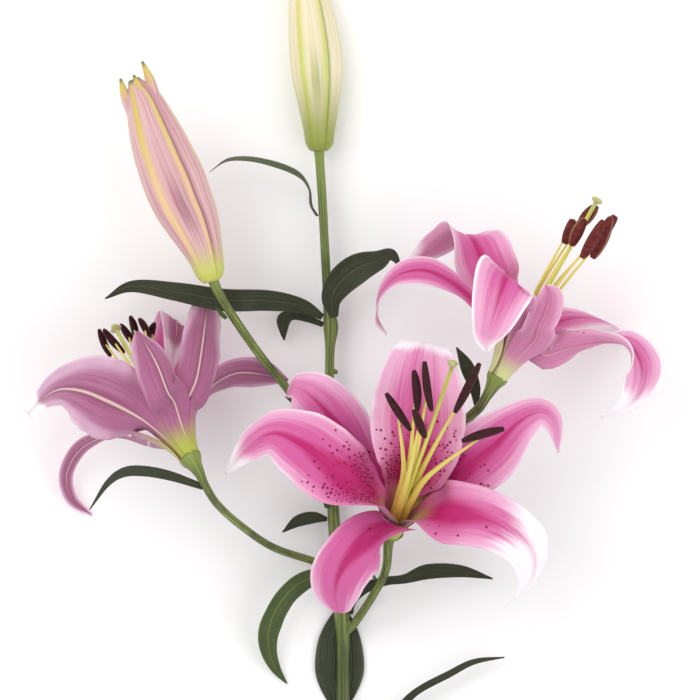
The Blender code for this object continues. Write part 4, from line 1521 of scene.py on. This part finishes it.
RIGHT_TEPALS = (
    TepalShape(
        "left", Whorl.OUTER, 6,
        ((80, 270, 86, 4.5, 14), (69, 282, 85, 5.5, 14), (58, 290, 82, 7.2, 14),
         (46, 294.5, 77, 8.4, 14), (32, 292, 70, 8, 14, -10), (22, 282, 63, 7.4, 14, -25),
         (19.5, 268, 58, 6.2, 10, -40), (25, 258, 55, 1.2, 0, -50)),
        (0.8, 3, 0), (-0.35, 0.35, 0.87), fade_from=0.8,
    ),
    TepalShape(
        "near", Whorl.INNER, 58,
        ((97, 276, 97, 14, 25), (96, 287, 105, 18, 16), (93, 290.5, 112, 19, 10),
         (89, 281, 117.5, 17, 12), (85, 268, 118.5, 13, 14), (81.5, 256, 116, 7.5, 8),
         (81.5, 248, 113, 1.2)),
        (1.6, 2.5, 1), (0.35, 0.7, 0.6), fade_from=0.8, spots=0.4, wash=0.15, rim=0.9,
    ),
    TepalShape(
        "side", Whorl.OUTER, 118,
        ((111, 262, 99, 9, 20), (115, 271, 98, 10, 14), (117, 280, 102, 8, 8), (115, 286, 107, 2)),
        (0.8, 2, 0.5), fade_from=0.86,
    ),
    TepalShape(
        "long", Whorl.INNER, 158,
        ((115, 246.5, 79, 11, 46, 4), (131, 251, 82, 10.5, 44, 6), (151, 254, 82, 13, 44, 5),
         (164, 251, 77, 14, 20, -40), (170.5, 239, 71, 13.5, 10, -80), (168, 225, 65, 11.5, 5, -80),
         (160, 216, 61, 8, 0, -80), (148, 211, 58, 1.2, 0, -80)),
        (1.8, 3, 0), (-0.1, 1, 0.25), fade_from=0.68, spots=0.3, wash=0.25, rim=0.95,
    ),
    TepalShape(
        "under", Whorl.OUTER, 238,
        ((118, 262, 46, 12, 20), (131, 267, 36, 14, 12), (145, 267, 22, 12, 8), (158, 262, 10, 9, 5),
         (170, 255, 3, 2)),
        (0.8, 2, 1), fade_from=0.8,
    ),
    TepalShape(
        "upper", Whorl.INNER, 293,
        ((91, 276, 56, 14, 25), (86, 288, 61, 17, 20), (80, 300, 63, 18.5, 25, -12),
         (74.5, 311.5, 61, 18.5, 38, -35), (69, 315.5, 54, 16, 38, -55), (60, 312, 48, 13, 30, -75),
         (48, 305, 44, 8.5, 20, -80), (35.5, 298, 42, 1.2, 0, -80)),
        (2, 3, 2), (0, 0, 1), fade_from=0.76, wash=0.1,
    ),
)
RIGHT_STAMENS = (
    Stamen(20, (128.5, 317, 78), (131, 324, 78), (126, 310, 78)),
    Stamen(330, (139, 326, 68), (145, 332, 68), (135, 320, 67)),
    Stamen(70, (133.8, 316, 90), (137.5, 324, 91), (130, 308.6, 89)),
    Stamen(120, (141.8, 312, 97), (148, 323, 98), (135.7, 301.6, 96)),
    Stamen(170, (147.5, 313, 85), (152.5, 325, 86), (142, 301.6, 84)),
    Stamen(260, (150, 318, 66), (156, 326, 66), (144, 310, 65)),
)
BLOOMS = (
    # Faces up and towards the cut end
    Bloom("front", (28.4, 145.0, 46.0), (0.20, 0.55, 0.81), (0.0, 1.0, 0.0),
          PetalFinish("front_petal", Tint.MAUVE, Tint.MAUVE_DEEP, Tint.MAUVE_PALE, 0.7, Tint.BASE_GREEN),
          FRONT_TEPALS, FRONT_STAMENS, (62.6, 243.0, 126.0),
          anther_radius=2.6, filament_root=2.6, flare=4.5, seed=3),
    # Turns its back upwards
    Bloom("left", (-86.0, 187.0, 90.0), (-0.4415, 0.7225, -0.532), UP,
          PetalFinish("left_petal", Tint.MAUVE, Tint.MAUVE_DEEP, Tint.MAUVE_PALE, 0.85, Tint.BASE_GREEN),
          LEFT_TEPALS, LEFT_STAMENS, (-131.7, 263.0, 30.0), seed=7),
    # Lies on its side
    Bloom("right", (87.6, 233.0, 76.0), (0.49, 0.87, 0.0), UP,
          PetalFinish("right_petal", Tint.SOFT_BACK, Tint.SOFT_BACK_DEEP, Tint.PINK_LIGHT, 0.25,
                      Tint.SOFT_BASE),
          RIGHT_TEPALS, RIGHT_STAMENS, (145.6, 336.0, 80.0),
          anther=FloretFinish.RIPE_ANTHER, anther_radius=3.7, pollen_spacing=1.5, seed=11),
)


# ---------------------------------------------------------------- buds


@dataclass
class Bud:
    """A closed bud whose three outer tepals meet in seams, with ribs showing between.

    The halves are half-widths at even steps from root to tip, and the drift moves the
    middle line sideways at the same steps.
    """

    name: str
    slot: str
    root: Vec
    tip: Vec
    halves: tuple[float, ...]
    drift: tuple[float, ...]
    finish: BudFinish
    tips: tuple[tuple[float, float, Vec], ...] = ()
    tip_depth: float = 26.0
    tip_radii: tuple[float, float, float] = (4.6, 3.5, 0.8)
    ribs: tuple[float, float] = (-29.0, 27.0)
    seam: float = 37.0

    def __post_init__(self) -> None:
        """Work out the bud's own directions."""
        self.low, self.high = np.array(self.root, dtype=float), np.array(self.tip, dtype=float)
        self.line = unit(self.high - self.low)
        self.side = np.cross(self.line, UP)

    def _skin(self) -> Sheet:
        """Sweep the bud's lobed section from root to tip.

        Returns:
            The closed skin with its ribs and seams.
        """
        share = np.linspace(0.0, 1.0, len(self.halves))
        rows = [(*(self.low + (self.high - self.low) * step + self.side * away), half)
                for step, half, away in zip(share, self.halves, self.drift)]
        table = curve_rows(rows, BUD_ROWS)
        along = np.linspace(0.0, 1.0, BUD_ROWS)
        seam_depth = 0.10 * (1.0 - 0.45 * smooth_step(0.1, 0.5, along))
        shut = 0.6 + 0.4 * np.sqrt(np.clip(along / 0.045, 0.0, 1.0))
        left_rib, right_rib = self.ribs

        def near(angles: np.ndarray, centre: float, width: float) -> np.ndarray:
            """Nearness to three lines around the bud."""
            return bell((np.degrees(angles) - centre + 60.0) % 120.0, 60.0, width)

        def reach(angles: np.ndarray, row: int) -> np.ndarray:
            """Shape a ring with lobes, ribs and seams.

            Args:
                angles: Angles round the bud.
                row: Number of the ring.

            Returns:
                The ring's radii.
            """
            lobe = 0.045 * np.cos(3 * (angles - math.radians(left_rib)))
            ridge = 0.035 * near(angles, left_rib, 7.0) + 0.02 * near(angles, right_rib, 4.0)
            cleft = seam_depth[row] * near(angles, self.seam, 3.2)
            return table[row, 3] * shut[row] * (1.0 + lobe + ridge - cleft)

        sheet = tube_sheet(table[:, :3], reach, UP, BUD_SIDES)
        angles, share = sheet.uv[:, 0] * 2 * math.pi, sheet.uv[:, 1]
        rib = 0.95 * near(angles, left_rib, 8.0) + 0.9 * near(angles, right_rib, 6.0)
        sheet.values = {
            "rib": np.clip(rib, 0.0, 1.0),
            # 'seam' marks where the finish paints a dark line of painted shade in each seam's groove.
            "seam": near(angles, self.seam, 3.6),
            "blush": bell(share, 0.36, 0.13) * near(angles, 0.5 * sum(self.ribs) + 4.0, 13.0),
        }
        return sheet

    def _free_tip(self, across: float, lift: float, end: Vec) -> Sheet:
        """Make the free tip of one tepal.

        Args:
            across: How far sideways it leaves the bud.
            lift: How far above the bud's middle line.
            end: Where it ends.

        Returns:
            The closed tip.
        """
        start = self.high - self.line * self.tip_depth + self.side * across + np.array([0.0, 0.0, lift])
        middle = 0.4 * start + 0.6 * np.array(end) + self.side * 0.2 * across
        rows = [(*place, radius) for place, radius in zip((start, middle, end), self.tip_radii)]
        table = curve_rows(rows, TIP_ROWS)

        def reach(angles: np.ndarray, row: int) -> np.ndarray:
            """Ring radii, a little wider than high."""
            return table[row, 3] * (1.0 + 0.12 * np.cos(2 * angles))

        sheet = tube_sheet(table[:, :3], reach, UP, TIP_SIDES)
        share = sheet.uv[:, 1]
        sheet.uv = np.column_stack([0.3 * sheet.uv[:, 0], 0.8 + 0.2 * share])
        sheet.values = {"rib": 0.8 * smooth_step(0.4, 0.9, share), "seam": np.zeros(len(share)),
                        "blush": np.zeros(len(share))}
        return sheet

    def build(self) -> None:
        """Make the bud and its free tips, and fix them to the body."""
        material = self.finish.make()
        settle(self._skin().make(self.name + "_skin", material), self.slot, self.name)
        if self.tips:
            pieces = [self._free_tip(*tip).make(f"{self.name}_tip_{index}", material)
                      for index, tip in enumerate(self.tips)]
            settle(gathered(self.name + "_tips", pieces), self.slot, self.name)


BUDS = (
    Bud("bud_top", "bud_cream", (-13.9, 364.3, 14.5), (-23.0, 474.0, 14.6),
        (7.4, 8.7, 10.6, 12.6, 14.2, 14.6, 14.1, 13.0, 11.2, 7.6, 2.0),
        (0.0, 0.7, 1.3, 1.7, 1.9, 2.0, 1.8, 1.5, 1.0, 0.5, 0.0),
        BudFinish("cream_bud", Tint.BUD_CREAM, Tint.BUD_CREAM_SHADE, Tint.BUD_LIME, Tint.BUD_STRAW,
                  Tint.BUD_OLIVE, Tint.BUD_OLIVE, 0.45)),
    Bud("bud_left", "bud_pink", (-75.2, 288.6, 54.9), (-121.0, 404.0, 62.0),
        (7.6, 9.6, 12.7, 15.6, 17.2, 17.7, 16.8, 15.4, 13.0, 9.8, 3.0),
        (0.0, 1.4, 1.8, 1.4, 0.5, 0.4, 0.3, 0.5, 1.1, 1.7, 1.0),
        BudFinish("pink_bud", Tint.BUD_PINK, Tint.BUD_PINK_DEEP, Tint.BUD_GOLD, Tint.BUD_YELLOW,
                  Tint.BUD_LIME, Tint.MAUVE_DEEP, 0.2),
        ((-5.4, 2.0, (-127.3, 404.6, 62.0)), (6.4, 1.0, (-114.8, 414.5, 62.0)),
         (1.6, 4.5, (-119.6, 406.6, 65.0)))),
)


# ---------------------------------------------------------------- leaves


DARK_LEAF = LeafFinish("leaf", Tint.LEAF, Tint.LEAF_LIGHT, Tint.LEAF_DARK)
FRESH_LEAF = LeafFinish("fresh_leaf", Tint.LEAF_FRESH, Tint.STEM_LIGHT, Tint.LEAF)


@dataclass(frozen=True)
class Leaf:
    """One leaf or bract, laid along a blade's control rows."""

    name: str
    controls: tuple[Row, ...]
    upper_face: Vec = UP
    ruffle: tuple[float, float, float] = (0.3, 2, 0)
    finish: LeafFinish = DARK_LEAF

    def build(self) -> None:
        """Make the leaf and fix it to the body."""
        rows = BRACT_ROWS if len(self.controls) < 5 else LEAF_ROWS
        blade = Blade(self.controls, self.upper_face, self.ruffle, rows, LEAF_CELLS,
                      groove=0.55, shoulder=0.25, crimp=0.2, middle=0.8, margin=0.3)
        item = blade.sheet().make(self.name + "_blade", self.finish.face(False), self.finish.face(True))
        settle(item, "leaf_green", self.name)


LEAVES = (
    Leaf(
        "leaf_top",
        ((-15, 327, 16.2, 1.2), (-18.2, 333, 20, 2, 10, 20), (-19, 341, 22, 3, 15, 40),
         (-23, 349, 25, 3.8, 15, 50), (-31, 354, 28, 4, 15, 50), (-43, 358, 30, 4, 15, 50),
         (-55, 360, 30, 3.5, 15, 50), (-67, 359, 27, 2.4, 10, 50), (-77, 352, 23, 0.4, 0, 50)),
        upper_face=(-0.7, 0.2, 0.7),
    ),
    Leaf(
        "leaf_whorl_left",
        ((-12, 268.5, 16.5, 1.8, 10), (-24, 275, 24, 4.2, 20), (-43, 278, 31, 6.2, 20),
         (-70, 278.5, 36, 6.6, 15), (-96, 283, 38, 5.5, 12), (-121, 286, 37, 3.4, 5),
         (-137, 279, 32, 0.4)),
        ruffle=(0.6, 2.5, 0),
    ),
    Leaf(
        "leaf_whorl_small",
        ((-11.5, 264, 12, 1.5), (-20, 267.5, 12.5, 2.2, 10), (-29, 269.5, 12.5, 2.8, 10),
         (-34, 267, 12, 4.2, 10), (-34.5, 261, 11, 2.6, 5), (-34, 255, 10, 0.4)),
    ),
    Leaf(
        "leaf_whorl_right",
        ((-5, 268.5, 19, 2.2, 15), (-6.5, 279, 25, 6, 25, 10), (-1, 289, 31, 8.5, 25, 15),
         (9, 297, 36, 9, 20, 15), (20, 301, 37, 6.5, 15, 5), (28, 304, 33, 3.5, 5),
         (33.6, 297, 27, 0.4)),
        upper_face=(0, -0.3, 1), ruffle=(0.5, 2, 1),
    ),
    Leaf(
        "bract_bud",
        ((-66.8, 267.5, 48.6, 1), (-69.5, 270, 49, 1.4, 20), (-73, 274, 48, 0.4)),
        upper_face=(-0.5, 0.3, 0.8), ruffle=(0, 1, 0), finish=FRESH_LEAF,
    ),
    Leaf(
        "bract_bud_root",
        ((-20.6, 212.5, 26.5, 1.4), (-27, 219, 32.5, 2.4, 20), (-33, 222.5, 35.5, 0.4)),
        upper_face=(-0.4, -0.2, 0.9), ruffle=(0, 1, 0), finish=FRESH_LEAF,
    ),
    Leaf(
        "leaf_left_bloom",
        ((-79.4, 171.6, 92.4, 1.8, 10), (-98.6, 178, 92, 2.8, 15, 10), (-113.7, 180.5, 86, 3.1, 15, 10),
         (-125, 179.5, 78, 3, 15, 10), (-134.5, 173, 70, 2.2, 10, 10), (-145, 158, 60, 0.4, 0, 10)),
        upper_face=(0, 0.3, 1),
    ),
    Leaf(
        "leaf_lower_left",
        ((-4.8, 117, 11.6, 2, 10), (-17, 118.5, 18, 5.5, 20), (-29, 112, 22, 7.5, 20),
         (-38, 101, 22, 7.8, 18), (-43, 88, 18, 7, 15), (-43, 76, 12, 5.2, 12), (-39, 65, 6, 3, 8),
         (-32.5, 56, 2, 0.4)),
        upper_face=(0.2, -0.4, 1), ruffle=(0.8, 2, 0.5), finish=FRESH_LEAF,
    ),
    Leaf(
        "leaf_under_stem",
        ((-1, 99, 2.4, 3.5), (-1.5, 88, 1.6, 10, 8), (-2, 76, 1.1, 13.5, 10), (-2, 62, 0.9, 14, 10),
         (-2, 49, 0.8, 9, 8), (-2, 38, 0.6, 0.6)),
        ruffle=(0, 2, 0),
    ),
    Leaf(
        "leaf_mid_left",
        ((-9.2, 151.5, 9.6, 1.2), (-17, 152.5, 12, 3.4, 15), (-26, 150.5, 13.5, 3.4, 15),
         (-35, 144, 12, 0.4)),
    ),
    Leaf(
        "bract_mid",
        ((-9, 158, 12.5, 1.5), (-9.5, 162, 14.5, 2, 20), (-9.5, 167, 15.5, 0.4)),
        upper_face=(-0.3, 0, 1), ruffle=(0, 1, 0), finish=FRESH_LEAF,
    ),
    Leaf(
        "leaf_right_bloom",
        ((76.3, 217.3, 63.4, 1.2), (75.5, 228, 61, 3.4, 15), (71, 240, 60, 4, 15), (65, 251, 58, 0.4)),
        upper_face=(-0.3, 0, 1),
    ),
    Leaf(
        "leaf_front_pedicel",
        ((4.7, 96.5, 8.6, 1.2), (5.5, 104, 9.2, 2.6, 15, -10), (12, 111.5, 11.5, 3.4, 20, -30),
         (24, 116, 15.5, 3.2, 25, -50), (36, 117.5, 21, 3, 20, -40), (49, 121.5, 25, 4.4, 15, -10),
         (68, 121.8, 27, 3.6, 10), (86.5, 117.5, 25, 0.4)),
        upper_face=(-0.5, 0.2, 0.8), ruffle=(0.4, 2, 0),
    ),
    Leaf(
        "bract_front_pedicel",
        ((19.3, 116.6, 25, 0.9), (16.5, 121.5, 29.5, 1.3, 20), (17.5, 127, 31, 0.4)),
        upper_face=(-0.5, 0, 0.8), ruffle=(0, 1, 0), finish=FRESH_LEAF,
    ),
    Leaf(
        "leaf_low_right",
        ((4.8, 9, 3.6, 1.2), (15, 20, 7, 3, 10), (30, 38, 9, 3, 15, 20), (42, 51, 10.5, 2.6, 15, 40),
         (61, 61.5, 12, 2.6, 15, 45), (76, 69, 11, 2, 10, 40), (93.5, 71.5, 8, 0.4, 0, 30)),
    ),
)


# ---------------------------------------------------------------- stem


@dataclass
class Stalk:
    """A ridged stalk along a curve of x, y, z and radius."""

    name: str
    controls: Sequence[Row]
    rows: int
    ridge: float = 0.035
    widest_ridged: float = 3.8

    def build(self, rind: Material, cut: Material) -> Piece:
        """Make the stalk.

        Args:
            rind: Finish of the rind.
            cut: Finish of the end faces.

        Returns:
            The stalk.
        """
        table = curve_rows(self.controls, self.rows)

        def reach(angles: np.ndarray, row: int) -> np.ndarray:
            """Ring radii with fine ridges that wander along the stalk."""
            ripple = np.cos(RIDGES * angles + 0.6 * math.sin(0.05 * row))
            return table[row, 3] + self.ridge * min(table[row, 3], self.widest_ridged) * ripple

        return tube_sheet(table[:, :3], reach, UP, STEM_SIDES, slot_caps=1).make(self.name, rind, cut)


@dataclass
class Stem:
    """The main stem with its flat rest, slanting cut, nodes and four pedicels."""

    main: tuple[Row, ...] = (
        (0, -36, FLAT_HEIGHT, STEM_RADIUS), (0, -20, FLAT_HEIGHT, STEM_RADIUS),
        (0, -4, FLAT_HEIGHT, STEM_RADIUS), (0, 12, FLAT_HEIGHT, STEM_RADIUS), (0, 32, 4.6, 3.75),
        (0, 58, 6.3, 3.7), (0, 81, 7, 3.7), (-0.8, 97, 7.6, 4.5), (-1.8, 112, 8, 3.6),
        (-4.4, 138, 9, 3.5), (-6, 165, 10, 3.3), (-7.2, 198, 11.3, 3.1), (-7.8, 226, 12.5, 2.7),
        (-7.5, 250, 13.6, 2.7), (-7, 263, 14.2, 4.2), (-8.6, 277, 14.6, 2.8), (-10.4, 307, 15, 2.5),
        (-12, 337, 15.2, 2.5), (-13.4, 358, 15, 2.6), (-13.9, 366.5, 14.6, 3),
    )
    pedicels: tuple[tuple[Row, ...], ...] = (
        ((-0.4, 84, 7.2, 2.2), (6.5, 91, 9.5, 2.3), (17, 107, 17.5, 2.3), (24.5, 122, 28, 2.4)),
        ((-3, 121.5, 8.2, 2), (-16, 127, 14, 2.1), (-40, 135.7, 34, 2.1), (-58.6, 149, 59, 2.1),
         (-71.5, 161.5, 80, 2.2), (-78.5, 173, 92, 2.4)),
        ((-6.4, 176, 10.4, 2.4), (10, 186, 16, 2.5), (34, 193, 31, 2.6), (58, 201, 49, 2.7),
         (75.5, 214, 65, 2.8)),
    )
    bud: tuple[Row, ...] = (
        (-7, 189, 11.2, 2), (-17.5, 206, 20, 2.3), (-32.5, 227.5, 31, 2.3), (-48.5, 247.5, 41, 2.4),
        (-64.6, 271, 49, 2.5), (-71.6, 283, 53, 2.7), (-75, 291, 55, 3.2),
    )
    knobs: tuple[tuple[Vec, Vec], ...] = (((-5.2, 236.0, 13.2), (-3.6, 238.0, 13.4)),
                                          ((0.5, 90.0, 8.5), (4.6, 92.5, 9.5)))
    knob_radius: float = 1.6
    cut_slant: float = 0.8

    def _trunk(self, rind: Material, cut: Material) -> Piece:
        """Make the main stem, then its slanting cut and flat rest.

        Args:
            rind: Finish of the rind.
            cut: Finish of the cut.

        Returns:
            The main stem.
        """
        item = Stalk("trunk", self.main, TRUNK_ROWS, 0.03).build(rind, cut)
        for vertex in item.data.vertices:
            place = vertex.co
            if place.y < (self.main[0][1] + 1.0) * MM:
                place.y -= self.cut_slant * (place.z - FLAT_HEIGHT * MM)
            if place.y < FLAT_END * MM and place.z < FLAT_REACH * MM:
                place.z = 0.0
            place.z = max(place.z, 0.0)
        return item

    def _knob(self, index: int, root: np.ndarray, head: np.ndarray) -> Stalk:
        """Shape the scar of a leaf that has gone.

        Args:
            index: Number of the knob.
            root: Where it grows from the stem.
            head: Where it ends.

        Returns:
            The knob.
        """
        steps = ((0.0, 0.6), (0.3, 1.0), (0.7, 0.95), (0.95, 0.6), (1.0, 0.2))
        rows = [(*(root + (head - root) * step), self.knob_radius * girth) for step, girth in steps]
        return Stalk(f"knob_{index}", rows, KNOB_ROWS)

    def build(self) -> None:
        """Make the stem and fix it to the body."""
        rind, cut = StemFinish.RIND.make(), StemFinish.CUT.make()
        side = []
        for bloom, controls in zip(BLOOMS, self.pedicels):
            ends = [(*bloom.point(0, -height, 0.0), radius) for height, radius in RECEPTACLE]
            side.append(Stalk("pedicel_" + bloom.name, [*controls, *ends], PEDICEL_ROWS))
        side.append(Stalk("pedicel_bud", self.bud, BUD_PEDICEL_ROWS))
        side += [self._knob(index, np.array(root), np.array(head))
                 for index, (root, head) in enumerate(self.knobs)]
        pieces = [self._trunk(rind, cut), *(stalk.build(rind, rind) for stalk in side)]
        settle(united("stem_and_pedicels", pieces), "stem_green", "stem")


# ---------------------------------------------------------------- studio


@dataclass(frozen=True)
class Lamp:
    """A square soft light that looks at the lily."""

    name: str
    place: Vec
    size: float
    energy: float

    def build(self, aim: Vec) -> None:
        """Hang the light.

        Args:
            aim: Place that it looks at.
        """
        light = bpy.data.lights.new(self.name, "AREA")
        light.size = self.size
        light.energy = self.energy
        item = placed(self.name, light)
        item.location = self.place
        line = np.array(aim) - np.array(self.place)
        item.rotation_euler = (math.acos(-line[2] / np.linalg.norm(line)), 0.0,
                               math.atan2(line[1], line[0]) - math.pi / 2)


@dataclass
class Studio:
    """Pale floor, soft lights and a camera that looks straight down, in metres."""

    centre: tuple[float, float] = (0.00406, 0.2494)
    aim_height: float = 0.05
    width: float = 0.406
    lens: float = 400.0
    sensor: float = 36.0
    far: float = 50.0
    floor_reach: float = 3.0
    room_strength: float = 0.86
    lamps: tuple[Lamp, ...] = (Lamp("key", (-0.9, 0.9, 1.6), 1.3, 11.0),
                               Lamp("fill", (1.2, -0.3, 1.4), 1.5, 7.5))

    def _build_floor(self) -> None:
        """Lay the floor."""
        mesh = bpy.data.meshes.new("floor")
        reach = self.floor_reach
        mesh.from_pydata([(-reach, -reach, 0), (reach, -reach, 0), (reach, reach, 0), (-reach, reach, 0)],
                         [], [(0, 1, 2, 3)])
        floor = placed("floor", mesh)
        pen = Sketch("floor", Tint.FLOOR, 0.8)
        pen.paint(pen.grain(3.0), Tint.FLOOR_CLOUD)
        mesh.materials.append(pen.finish())
        floor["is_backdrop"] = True

    def build(self) -> None:
        """Set the floor, the lights and the camera."""
        scene = bpy.context.scene
        scene.view_settings.view_transform = "Standard"
        self._build_floor()
        scene.world = bpy.data.worlds.new("soft_room")
        scene.world.use_nodes = True
        room = scene.world.node_tree.nodes["Background"]
        room.inputs["Color"].default_value = (1.0, 1.0, 1.0, 1.0)
        room.inputs["Strength"].default_value = self.room_strength
        for lamp in self.lamps:
            lamp.build((*self.centre, self.aim_height))
        camera = bpy.data.cameras.new("camera")
        camera.lens = self.lens
        camera.sensor_width = self.sensor
        camera.clip_end = self.far
        scene.camera = placed("camera", camera)
        scene.camera.location = (*self.centre, self.width / self.sensor * self.lens)


def corners() -> list[list[float]]:
    """Read the shown object's box as plain lists."""
    return [[float(value) for value in corner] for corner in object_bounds()]


def main() -> None:
    """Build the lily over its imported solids."""
    logging.basicConfig(level=logging.INFO, format="%(name)s: %(message)s")
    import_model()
    Studio().build()
    Stem().build()
    for part in (*BLOOMS, *BUDS, *LEAVES):
        part.build()
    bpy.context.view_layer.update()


if __name__ == "__main__":
    main()
